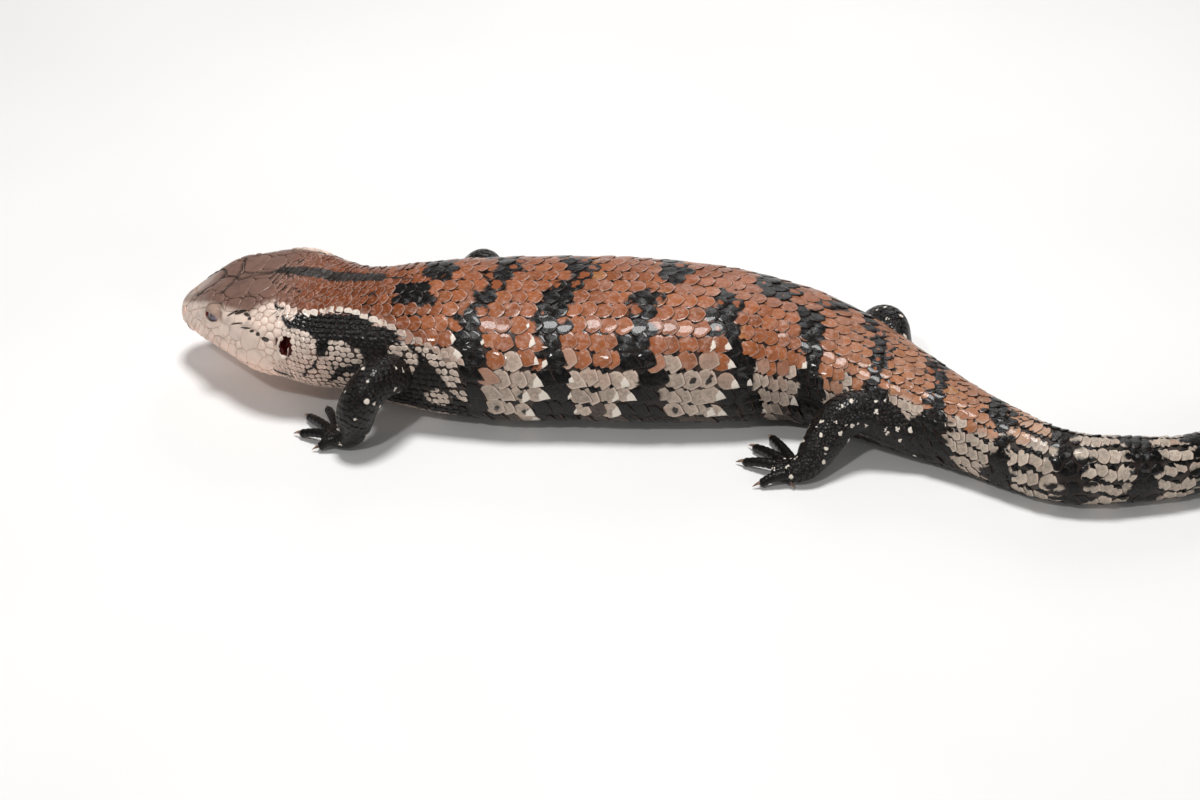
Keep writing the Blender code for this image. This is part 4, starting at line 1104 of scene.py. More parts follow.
scales = {
    # start, end, rows round the body, where the first row lies, and how the pitch changes along
    "spans": (
        (37.0, 262, 30, 0.5, ((37, 2.1), (62, 2.4), (76, 3.0), (86, 3.7), (100, 5.0), (115, 5.9), (250, 5.7),
                              (262, 5.0))),
        (261.5, 300, 30, 0.5, ((261, 4.9), (280, 4.4), (300, 4.3))),
        (299, 316, 26, 0.5, ((299, 4.3), (316, 4.2))),
        (315, 333, 20, 0.5, ((315, 4.1), (333, 3.8))),
        (332, 430, 12, 0.0, ((332, 3.6), (370, 3.6), (395, 3.7), (430, 3.6))),
        (429, 462, 10, 0.0, ((429, 3.5), (462, 3.0))),
        (461, 494, 8, 0.0, ((461, 3.0), (494, 1.8))),
    ),
    "lengthShare": 0.68,  # half length as a share of the pitch, so that each scale covers part of the next
    "widthShare": 1.20,  # half width as a share of the half row
    "lean": 0.30,  # how far the flank's pointed scales turn down
    "jitter": 0.10,
    "slant": 0.24,  # how far each lower row of the flank lies back, as a share of the pitch
    "sway": 0.27,  # how far a scale's edges stand up or down, in mm
    # how far a marking's edge cuts through a scale: 0 colours whole scales, 1 follows the drawn edge
    "pull": 0.50, "neckPull": 0.85,
    "lowest": 0.02,
    "neckSide": ((46.0, 113, 72, 0.5, ((46, 1.6), (60, 1.8), (112, 2.4))),),
}
# the line of pale pointed scales that parts the back from the neck's black patch, as s and share on the left
whiteRow = {
    "line": ((59, 0.21), (62, 0.195), (65, 0.18), (68, 0.17), (72, 0.17), (76, 0.185), (80, 0.215),
             (84, 0.235), (88, 0.26), (92, 0.29), (96, 0.31), (100, 0.335), (106, 0.365), (112, 0.39)),
    "pitch": 2.9, "halfLong": 1.5, "halfWide": 1.55,
}


def neckSideEdge(s):
    # the share down to which the large scales of the back reach on the neck
    at = (52, 60, 66, 72, 76, 80, 84, 88, 92, 100, 106, 110, 114, 116)
    return np.interp(s, at, (0.235, 0.235, 0.20, 0.19, 0.20, 0.235, 0.255, 0.285, 0.31, 0.355, 0.385, 0.41,
                             0.47, 0.66))


def pullIn(values, middle, amount):
    return middle[:, None] + (values - middle[:, None]) * amount


# the share of scales that carry each marking
chance = {
    "blackCorner": 0.62, "flankCorner": 0.6, "flankSpot": 0.17, "lowTip": 0.9, "edgeTip": 0.30,
    "lastTip": 0.7,
    "tailCorner": 0.34, "tailSide": 0.72, "tailTipCorner": 0.5, "rustHeart": 0.38, "goldBehindBand": 0.20,
    "creamOnBelly": 0.26,
}


def paintScales(s, share, centreS, centreShare, small):
    # for each corner of each scale: base colour, rim, inner spot, its size, black corner, pale tip, black side
    draw = rng.random((9, len(centreS), 1))
    nearS, nearShare = pullIn(s, centreS, scales["neckPull"]), pullIn(share, centreShare, scales["neckPull"])
    whole = easing(mirroredShare(centreS, centreShare), 0.24, 0.30) * (centreS < 300)
    pull = (scales["pull"] + (0.10 - scales["pull"]) * whole)[:, None]
    s, share = pullIn(s, centreS, pull), pullIn(share, centreShare, pull)
    w, mirrored = patternShare(s, share), mirroredShare(s, share)
    inside, before = inBand(*ragged(s + (draw[0] - 0.5) * 1.6, w + (draw[8] - 0.5) * 0.02))
    pale, dark = track(pattern["paleFrom"], s), track(pattern["darkFrom"], s)
    wander = (draw[1] - 0.5) * np.where(centreS[:, None] > 104, 0.12, 0.04)
    back = mirrored < pale + wander
    belly = mirrored > dark + 0.03 * np.sin(s / 3.0) + (draw[1] - 0.5) * 0.08
    flank = ~back & (s > 108)
    base = hueAt(s, share - wander * np.sign(share))
    base = mix(base, paints["orange"], np.where(back & (s > 84), 0.40 * draw[2] ** 2, 0.0))
    base = base * (0.84 + 0.32 * draw[3])[..., None]
    # how light each scale's rear rim is; the rim is partly a painted highlight
    rim = np.where(back, 0.50, 0.45) * (0.6 + 0.8 * draw[4])
    corner = np.where(back & (draw[5] < chance["blackCorner"]) & (s > 84), 0.14 + 0.18 * draw[6], 0.0)
    corner = np.where(flank, np.where(draw[5] < chance["flankCorner"], 0.30 + 0.30 * draw[6], 0.16), corner)
    ahead = (inside > -7.0) & (before > 0.5)
    low = (mirrored > 0.27) & (s > 104) & (s < 300)
    tipSize = np.where(back, 0.34, 0.55) + 0.2 * draw[6]
    tip = np.where(low & ahead & (draw[5] < chance["lowTip"]), tipSize, 0.0)
    sides = np.zeros(s.shape)
    # the flank's pale scales carry small dark spots
    spotted = flank & (draw[7] < chance["flankSpot"]) & (s < 285)
    mark = np.where(spotted[..., None], paints["slate"], paints["orange"])
    markSize = np.where(spotted, 0.20 + 0.22 * draw[6], 0.0)
    # on the tail a line of dark runs between the rows, broken by dashes where scales meet
    onTail = easing(s, 262, 300)
    corner = np.where((s > 262) & (draw[5] < chance["tailCorner"]), 0.36 + 0.10 * draw[6], corner)
    sideSize = (0.10 + 0.38 * draw[6]) * easing(s, 325, 345)
    sides = np.where((s > 325) & (draw[6] > 1 - chance["tailSide"]), sideSize, sides)
    sides = sides + np.where((s > 325) & (np.abs(mirrored - 0.31) < 0.075), 0.22 * draw[7], 0.0)
    corner = np.where((s > 325) & (draw[4] < chance["tailTipCorner"]), 0.40 + 0.22 * draw[6], corner)
    tip = tip * (1 - onTail)
    # bands: black scales, some with a rust heart, and pale tips on those that lie before them
    black = (inside > 0) | inBlots(nearS, nearShare)
    hearted = black & back & (draw[5] < chance["rustHeart"]) & (s > 86) & (s < 300) & (inside < 4.4)
    base = np.where(black[..., None], np.array(paints["black"]) * (0.8 + 0.9 * draw[3])[..., None], base)
    rim = np.where(black, 0.03, rim)
    mark = np.where(hearted[..., None], np.array(paints["rust"]) * 0.9, mark)
    markSize = np.where(hearted, 0.20 + 0.28 * draw[6], np.where(black, 0.0, markSize))
    edge = ~black & (inside > -4.2) & (before > 0.5) & back & (mirrored > 0.14) & (s > 104)
    edge = edge & (draw[7] < chance["edgeTip"])
    tip = np.where(edge & ~low, 0.10 + 0.12 * draw[6], tip)
    last = black & low & (before < 0.5) & (inside < 3.6) & (draw[7] < chance["lastTip"])
    tip = np.where(last, 0.16 + 0.14 * draw[6], tip)
    # now and then an orange scale just behind a band
    golden = draw[7] > 1 - chance["goldBehindBand"]
    glowing = ~black & (inside > -2.5) & (before < 0.5) & back & golden & (s > 150)
    glow = mix(base, paints["gold"] * np.array((1.0, 0.75, 0.35)), 0.26 * draw[6])
    base = np.where(glowing[..., None], glow, base)
    # belly: dark brown with some cream scales, the dark partly painted shade under the body
    creamy = np.where(draw[2] > 1 - chance["creamOnBelly"], 0.55, 0.05)
    bellyHue = mix(paints["belly"], paints["cream"], creamy)
    base = np.where((belly & ~black)[..., None], bellyHue, base)
    rim = np.where(belly, 0.12, rim)
    # nape stripe and the neck's side, drawn closer to their outlines
    nape = inNape(nearS, nearShare)
    near = mirroredShare(nearS, nearShare)
    neck = (nearS < 116) & (near > track(pattern["paleFrom"], nearS) - 0.02) & (near < 0.66) & small
    # the neck's black patch; its lowest part near the foreleg is painted shade
    blot = inNeckBlack(nearS, near + (draw[0] - 0.5) * 0.012) & small
    throat = (nearS < 104) & (near >= 0.60) & small
    light = mix(paints["face"], paints["bright"], 0.5 * draw[2])
    light = mix(light, paints["throat"], easing(near, 0.36, 0.48) * (1 - easing(nearS, 66, 84)) * 0.8)
    light = mix(light, paints["cream"], easing(nearS, 66, 88) * (0.35 + 0.5 * draw[7]))
    pinkish = (0.9 + 0.2 * draw[3])[..., None]
    base = np.where(((neck | throat) & ~black)[..., None], light * pinkish, base)
    base = np.where(blot[..., None], np.array(paints["black"]) * (1.0 + 1.2 * draw[3])[..., None], base)
    base = np.where(nape[..., None], np.array(paints["slate"]) * (0.7 + 0.6 * draw[3])[..., None], base)
    rim = np.where(neck | throat, 0.25, rim)
    rim = np.where(blot | nape, 0.03, rim)
    plain = neck | throat | nape | belly | (black & ~last)
    corner, sides = np.where(plain, 0.0, corner), np.where(plain, 0.0, sides)
    patchy = neck & ~blot & ~black & ~nape
    sides = np.where(patchy, 0.12 * draw[6] * easing(nearS, 58, 76), sides)
    tip = np.where(plain, 0.0, tip)
    markSize = np.where(neck | throat | nape, 0.0, markSize)
    return base, rim, mark, markSize, corner, tip, sides


def pointedness(s, share):
    size = mirroredShare(s, share)
    pale = track(pattern["paleFrom"], s)
    flank = (easing(size, 0.27, 0.33) * easing(s, 95, 115) * (1 - easing(s, 290, 320))
             * (1 - easing(size, 0.60, 0.70)))
    inside, before = inBand(s, patternShare(s, share))
    ahead = easing(inside, -6.0, -4.0) * (1 - easing(inside, 0.5, 1.5)) * (before > 0.5)
    odd = (size > pale) * (rng.random(len(s)) < 0.25)
    return flank * np.maximum(ahead, odd)


def layScales(name, s, share, rowShare, pitch, template, shape, material, small=False, white=False):
    girth = halfGirth(s)
    count = len(s)
    draw = rng.random((5, count)) - 0.5
    pointed = (np.ones(count) if white else pointedness(s, share))[:, None, None]
    if not white:
        lowDown = easing(mirroredShare(s, share), 0.24, 0.34) * easing(s, 104, 120)
        onNeck = 3.5 * easing(s, 54, 72) if small else 0.0
        loose = scales["jitter"] * (2 + 3.5 * lowDown + 2 * easing(s, 322, 345) + onNeck)
        s = s + draw[0] * pitch * loose
        share = share + draw[1] * rowShare * loose
    low = np.clip(easing(mirroredShare(s, share), 0.20, 0.27) * easing(s, 104, 120), 0, 1)[:, None, None]
    rims = fullRim(roundRim)[None] * (1 - low) + fullRim(flankRim)[None] * low
    rims = rims * (1 - pointed) + fullRim(pointRim)[None] * pointed
    rims = rims * (1 + 0.06 * (rng.random((count, 14, 1)) - 0.5))
    onTail, oval = easing(s, 322, 345), 0.5 * (easing(s, 50, 58) + easing(s, 58, 72)) if small else 0.0
    halfLong = (pitch * scales["lengthShare"] * (1 + 0.08 * draw[2])
                * (1 + 0.10 * pointed[:, 0, 0] - 0.06 * onTail - 0.22 * oval))
    halfWide = (rowShare * girth * scales["widthShare"] * (1 + (0.08 + 0.16 * onTail) * draw[3])
                * (1 - 0.14 * onTail - 0.20 * oval))
    if not small:
        nape = 1 + 0.16 * (1 - easing(s, 60, 76))
        halfLong, halfWide = halfLong * nape, halfWide * nape
    down = (0.7 if white else scales["lean"] * low[:, 0, 0]) + 0.35 * oval
    lean = (0.10 + 0.2 * pointed[:, 0, 0] + 0.5 * oval) * draw[4] + down * np.sign(share)
    along, across, lift, local = scaleOffsets(template, shape, rims, halfLong, halfWide, lean,
                                              scales["sway"] * (0.4 if small else 1))
    # scales grow thinner towards the tail's tip
    thin = np.clip(halfWide / 3.0, 0.35, 1.0)[:, None]
    ringS = np.clip(s[:, None] + along, 0.3, 496.8)
    ringShare = share[:, None] + across / girth[:, None]
    points = bodyAt(ringS, ringShare, lift * thin)
    points[..., 2] = np.maximum(points[..., 2], scales["lowest"])
    base, rim, mark, markSize, corner, tip, sides = paintScales(ringS, ringShare, s, share, small)
    if white:
        base = mix(paints["bright"], paints["face"], rng.random((count, 1)) * 0.6)
        base = mix(base, mix(paints["rust"], paints["cream"], 0.55), 0.75 * easing(ringS, 80, 94))
        rim, markSize, corner, tip, sides = rim * 0.3, 0 * rim, 0 * rim, 0 * rim, 0 * rim
    attributes = {
        "base": joined(base, rim), "mark": joined(mark, markSize), "plate": joined(local, template["reach"]),
        "extra": np.stack((corner, tip, sides, np.ones(ringS.shape)), axis=-1),
        "chart": np.stack((ringS, share[:, None] * girth[:, None] + across, 0 * ringS), axis=2),
    }
    bakeUv = bakeSpots(s / bake["size"], 0.5 + share * girth / bake["size"], local)
    return joinPlates(name, template, points, attributes, bakeUv, material)


rows = scaleRows(scales["spans"])
onNeckSide = (mirroredShare(rows[:, 0], rows[:, 1]) > neckSideEdge(rows[:, 0])) & (rows[:, 0] < 114)
onHead = rows[:, 0] < crownEnd(rows[:, 1]) - 2.6
rows = rows[~onNeckSide & ~onHead]
cuts = (0, 178, 262, 500)
coat = []
for name, start, end in zip(("shoulder_scales", "back_scales", "tail_scales"), cuts, cuts[1:]):
    these = rows[(rows[:, 0] >= start) & (rows[:, 0] < end)]
    coat.append(layScales(name, *these.T, scaleTemplate, scaleShape, scalePaint))

smallTemplate = plateTemplate(14, (0.86,))
smallShape = dict(scaleShape, thick=0.30, sink=-0.16, tilt=0.15, crown=0.16, middle=0.14)
small = scaleRows(scales["neckSide"])
away = mirroredShare(small[:, 0], small[:, 1])
small = small[(away > neckSideEdge(small[:, 0]) - 0.012) & (small[:, 0] < 114)]
small = small[small[:, 0] > crownEnd(small[:, 1]) - 0.6]
earArc = np.abs(small[:, 1]) * halfGirth(small[:, 0])
onEar = ((small[:, 0] - head["ear"][0] - 0.2) / 2.5) ** 2 + ((earArc - head["ear"][1]) / 4.3) ** 2 < 1
small = small[~onEar]
coat.append(layScales("neck_scales", *small.T, smallTemplate, smallShape, scalePaint, small=True))


def makeWhiteRow():
    # one line of larger pale scales on each side, standing a little proud of the others
    lineS, lineShare = np.array(whiteRow["line"]).T
    at = np.arange(lineS[0], lineS[-1], whiteRow["pitch"])
    at = at + (rng.random(len(at)) - 0.5) * 0.5
    s = np.tile(at, 2)
    share = np.concatenate([shareOnSide(at, np.interp(at, lineS, lineShare), side) for side in (1, -1)])
    rowShare = np.full(len(s), whiteRow["halfWide"] / scales["widthShare"]) / halfGirth(s)
    pitch = np.full(len(s), whiteRow["halfLong"] / scales["lengthShare"])
    shape = dict(smallShape, sink=0.02, tilt=0.20, crown=0.20, middle=0.18)
    return layScales("pale_neck_scales", s, share, rowShare, pitch, smallTemplate, shape, scalePaint,
                     white=True)


coat.append(makeWhiteRow())


# head: shields and the smaller plates of the face, as cells that each hold their ground
def headSeeds():
    # s, arc, hold, kind: 0 bare, 1 crown, 2 face, 3 upper lip, 4 lower lip, 5 small rounded grains
    seeds = [(s, arc, hold, 1) for s, arc, hold in head["crown"]]
    seeds += [(s, arc, hold, 2) for s, arc, hold in head["face"]]
    seeds += [(s, mouthArc(s) - head["upperLip"][0], head["upperLip"][1], 3) for s in head["upperLabials"]]
    seeds += [(s, mouthArc(s) + head["lowerLip"][0], head["lowerLip"][1], 4) for s in head["lowerLabials"]]
    seeds += [(s, float(halfGirth(s)) - off, 3.4, 2) for s, off in head["chin"]]
    seeds += [(*head["eye"], 0), (*head["ear"], 0), (*head["nostril"], 0)]
    pitch = head["fill"]
    for row, s in enumerate(np.arange(4.0, 62.0, pitch * 0.87)):
        for arc in np.arange(4.0 + (row % 2) * pitch / 2, 80.0, pitch):
            place = s + rng.uniform(-0.3, 0.3), arc + rng.uniform(-0.3, 0.3)
            if place[1] > float(halfGirth(place[0])) - 1.4:
                continue
            if all(math.dist(place, seed[:2]) > 0.60 * (seed[2] + pitch / 2) + 0.8 for seed in seeds):
                lip = mouthArc(place[0]) if place[0] < head["mouthCornerS"] + 2 else -99
                if abs(place[1] - lip) > 2.6:
                    seeds.append((*place, 1.7, 5))
    return seeds + [(s, -arc, hold, kind) for s, arc, hold, kind in seeds if arc > 0.2]


def clipOutline(outline, seed, other, seam):
    normal = (other[0] - seed[0], other[1] - seed[1])
    limit = (other[0] ** 2 + other[1] ** 2 - other[2] ** 2 - seed[0] ** 2 - seed[1] ** 2 + seed[2] ** 2) / 2
    limit -= seam / 2 * math.hypot(*normal)
    kept = []
    for a, b in zip(outline, outline[1:] + outline[:1]):
        da = a[0] * normal[0] + a[1] * normal[1] - limit
        db = b[0] * normal[0] + b[1] * normal[1] - limit
        if da <= 0:
            kept.append(a)
        if da * db < 0:
            t = da / (da - db)
            kept.append((a[0] + (b[0] - a[0]) * t, a[1] + (b[1] - a[1]) * t))
    return kept


def evenly(outline, sides):
    ring = np.array(outline + outline[:1])
    lengths = np.concatenate(([0.0], np.cumsum(np.hypot(*np.diff(ring, axis=0).T))))
    wanted = np.linspace(0, lengths[-1], sides + 1)[:-1]
    return np.stack((np.interp(wanted, lengths, ring[:, 0]), np.interp(wanted, lengths, ring[:, 1])), axis=1)


def distanceToLine(line, s, share):
    # mm from each place to a line on either side of the head
    girth = halfGirth(s)
    across = np.abs(share) * girth
    best = np.full(np.shape(s), 99.0)
    for (s0, w0), (s1, w1) in zip(line, line[1:]):
        along, rise = s1 - s0, w1 * girth - w0 * girth
        t = np.clip(((s - s0) * along + (across - w0 * girth) * rise) / (along**2 + rise**2), 0, 1)
        best = np.minimum(best, np.hypot(s - s0 - t * along, across - w0 * girth - t * rise))
    return best


def makeShields():
    seeds = headSeeds()
    template = plateTemplate(head["sides"], (0.955, 0.82, 0.5, 0.2))
    rims, centres, kinds = [], [], []
    for seed in seeds:
        s, arc, hold, kind = seed
        if kind == 0 or s > crownEnd(arc / halfGirth(s)):
            continue
        corners = ((-1, -1), (1, -1), (1, 1), (-1, 1))
        outline = [(s + x * head["box"], arc + y * head["box"]) for x, y in corners]
        for other in seeds:
            if other is not seed and math.dist(other[:2], seed[:2]) < head["neighbours"]:
                lips = {kind, other[3]} == {3, 4}
                outline = clipOutline(outline, seed, other, head["lipSeam"] if lips else head["seam"])
        belly = float(halfGirth(s)) - head["seam"] / 2  # no plate crosses the chin's middle line
        for way in (1, -1):
            outline = clipOutline(outline, (s, 0.0, 0.0), (s, 2 * way * belly, 0.0), 0.0)
        outline = clipOutline(outline, (s, arc, 0.0), (2 * head["capEnd"] - s, arc, 0.0), head["seam"])
        if len(outline) < 3:
            continue
        rim = evenly(outline, head["sides"])
        centre = rim.mean(axis=0)
        if np.ptp(rim, axis=0).min() < head["least"]:
            continue
        rims.append(rim)
        centres.append(centre)
        kinds.append(kind)
    rims, centres, kinds = np.array(rims), np.array(centres), np.array(kinds)
    # round the corners a little
    rims = 0.7 * rims + 0.15 * (np.roll(rims, 1, 1) + np.roll(rims, -1, 1))
    middles = centres[:, None]
    place = middles + (rims[:, template["turn"]] - middles) * template["reach"][None, :, None]
    size = np.sqrt(np.ptp(rims[..., 0], axis=1) * np.ptp(rims[..., 1], axis=1))
    s, share = place[..., 0], place[..., 1] / halfGirth(place[..., 0])
    caps = [capPlate(template, low) for low in (False, True)]
    s = np.concatenate((s, [cap[0] for cap in caps]))
    share = np.concatenate((share, [cap[1] for cap in caps]))
    local = np.concatenate(((place - middles) / size[:, None, None] * 2, [cap[2] for cap in caps]))
    kinds = np.concatenate((kinds, (3, 4)))
    roots = np.concatenate((centres, ((0.6, 0.0), (1.4, halfGirth(1.4)))))
    rises = (head["crownRise"], head["grainRise"], head["lipRise"])
    rise = np.select((kinds == 1, kinds == 5, kinds == 3), rises, head["faceRise"])
    flat = np.interp(template["reach"], (0.0, 0.2, 0.5, 0.82, 0.955, 1.0), (1.0, 1.0, 0.96, 0.86, 0.6, 0.05))
    domed = np.sqrt(np.clip(1.02 - template["reach"] ** 2, 0.0, 1.0))
    crown = np.where((kinds == 5)[:, None], domed, flat)
    lift = np.where(template["top"][None, :], crown * rise[:, None], -head["thick"])
    points = bodyAt(s, share, lift)
    colour = hueAt(s, share) * (0.92 + 0.16 * rng.random(len(s)))[:, None, None]
    # the nape's dark stripe begins on the last shields
    colour = np.where(inNape(s, share)[..., None], paints["slate"], colour)
    for line, strength, half in head["crownLines"]:
        near = distanceToLine(line, s, share)
        colour = mix(colour, paints["black"], strength * (1 - easing(near, half, half + 0.55)))
    attributes = {
        "base": joined(colour, 0.06), "mark": joined(colour, 0.0), "extra": joined(0 * colour, 1.0),
        "plate": joined(local, template["reach"]),
        "chart": np.stack((s, share * halfGirth(s), 0 * s), axis=2),
    }
    bakeUv = bakeSpots(roots[:, 0] / bake["size"], 0.5 + roots[:, 1] / bake["size"], local)
    return joinPlates("head_shields", template, points, attributes, bakeUv, shieldPaint)


def capPlate(template, low):
    # the snout's tip from the front, by distance from the tip and turn; each cap leaves the other's wedge free
    end, cut = head["capEnd"] - head["seam"] / 2, head["capShare"] + (0.02 if low else -0.02)
    turns = np.linspace(cut, 2 - cut, 14) if low else np.linspace(-cut, cut, 22)
    arc = [(end * math.cos(math.pi * turn), end * math.sin(math.pi * turn)) for turn in turns]
    rim = evenly(arc + [(-0.30, 0.0)], head["sides"])
    centre = np.array((-1.3, 0.0)) if low else np.array((0.45, 0.0))
    disc = centre + (rim[template["turn"]] - centre) * template["reach"][:, None]
    s = np.maximum(np.hypot(disc[:, 0], disc[:, 1]), 0.02)
    return s, np.arctan2(disc[:, 1], disc[:, 0]) / math.pi, (disc - centre) / end


coat.append(makeShields())


# skin: one hide through body, legs and toes, with lids, ear and nostrils
skin = {
    "depth": 0.62, "headDepth": 0.18, "legDepth": 0.30,
    "lidRadius": 4.8, "eyeRadius": 3.7, "eyeSink": 2.7, "opening": (3.7, 1.75), "slant": 10.0,
    "noseEnd": 3, "headEnd": 50, "toeDepth": 0.03, "socketPlay": 0.12,
    # the cut between the lids: its middle lies this far out from the eye's, and its half depth
    "openingOut": 4.0, "openingDepth": 5.0,
    "earHalf": (1.75, 2.7, 3.6), "earLow": (1.0, 2.2, 2.6), "earLean": 14.0,
    # from the ear's middle, back, up and outward: its upper and lower hollow and the fold at its front
    "earAt": (0.0, 0.9, -0.3), "earLowAt": (0.35, -1.7, -0.3), "foldAt": (-0.75, -0.9, -0.25),
    "foldHalf": (1.9, 3.4), "foldThick": 0.50,
    "nostrilHalf": (0.75, 0.75, 1.6), "nostrilIn": 0.3,
    # reach of the colours round the eye and the ear, and the reach and colour of the holes, in mm
    "lidReach": 0.9, "earReach": 5.2, "holeDepth": 0.45, "earHole": 4.6, "nostrilHole": 1.6,
    "nostrilColour": (0.16, 0.05, 0.04), "lipColour": (0.045, 0.022, 0.020),
    "eyeCornerColour": (0.36, 0.10, 0.08),
}


def eyePlace(side):
    here, forward, up, out = headFrame(*head["eye"][:2], side)
    slant = Matrix.Rotation(math.radians(-skin["slant"]) * side, 3, out)
    return here - out * skin["eyeSink"], slant @ forward, slant @ up, out


def earAxes(side):
    # forward, up and out at the ear, leaning so that its lower end lies further back
    here, forward, up, out = headFrame(*head["ear"][:2], side)
    lean = Matrix.Rotation(math.radians(skin["earLean"]) * side, 3, out)
    forward, up = lean @ forward, lean @ up
    return here, rightHanded(forward, up, out)


def foldMesh(name, centre, halfSizes, thick, axes):
    # a soft ridge round an opening, thickest at its front and low down
    bm = bmesh.new()
    made = bmesh.ops.create_circle(bm, segments=12, radius=1.0)["verts"]
    bmesh.ops.rotate(bm, verts=made, cent=(0, 0, 0), matrix=Matrix.Rotation(math.pi / 2, 3, "X"))
    bmesh.ops.scale(bm, verts=made, vec=(thick, thick, thick))
    bmesh.ops.translate(bm, verts=made, vec=(halfSizes[0], 0, 0))
    bmesh.ops.spin(bm, geom=bm.edges[:] + bm.verts[:], cent=(0, 0, 0), axis=(0, 0, 1), angle=2 * math.pi,
                   steps=40, use_merge=True)
    bmesh.ops.recalc_face_normals(bm, faces=bm.faces)
    bmesh.ops.scale(bm, verts=bm.verts, vec=(1, halfSizes[1] / halfSizes[0], 1))
    settle(bm, centre, axes)
    return finishMesh(name, bm)


def makeSkin():
    behindNose = np.where(bodyRows < skin["headEnd"], skin["headDepth"], skin["depth"])
    depth = np.where(bodyRows < skin["noseEnd"], 0.0, behindNose)
    depth = np.convolve(np.pad(depth, 4, mode="edge"), np.ones(9) / 9, mode="valid")
    hide = tubeMesh("skin", bodySheet, -depth[:, None])
    hide.data.materials.append(skinPaint)
    limbs = [tubeMesh(name + "_hide", legSheets[name][0], -skin["legDepth"]) for name in legNames]
    limbs += [tubeMesh("toe_hide", sheet, -skin["toeDepth"]) for sheet in toeSheets]
    combine(hide, limbs, "UNION")
    lids, cuts = [], []
    for side in (1, -1):
        centre, along, across, out = eyePlace(side)
        axes = rightHanded(along, across, out)
        lids.append(ballMesh("lid", centre, (skin["lidRadius"],) * 3, axes, 56))
        cuts.append(ballMesh("socket", centre, (skin["eyeRadius"] + skin["socketPlay"],) * 3, axes, 48))
        opening = (*skin["opening"], skin["openingDepth"])
        cuts.append(ballMesh("opening", centre + out * skin["openingOut"], opening, axes, 64))
        here, forward, up, out = headFrame(*head["nostril"][:2], side)
        axes = rightHanded(forward, up, out)
        cuts.append(ballMesh("nostril", here - out * skin["nostrilIn"], skin["nostrilHalf"], axes, 32))
        here, axes = earAxes(side)
        ways = (axes[0] if axes[0].x > 0 else -axes[0], axes[1], axes[2])
        atFold, atEar, atLow = (
            here + sum((way * size for way, size in zip(ways, skin[key])), Vector())
            for key in ("foldAt", "earAt", "earLowAt")
        )
        lids.append(foldMesh("fold", atFold, skin["foldHalf"], skin["foldThick"], axes))
        cuts.append(ballMesh("ear", atEar, skin["earHalf"], axes, 48))
        cuts.append(ballMesh("ear", atLow, skin["earLow"], axes, 48))
    combine(hide, lids, "UNION")
    combine(hide, cuts, "DIFFERENCE")
    return hide


def pointTree(groups):
    tree = KDTree(sum(len(group) for group in groups))
    for index, point in enumerate(itertools.chain(*groups)):
        tree.insert(point, index)
    tree.balance()
    return tree


bodyPoints = bodySheet["points"].reshape(-1, 3)
bodyTree = pointTree([bodyPoints])


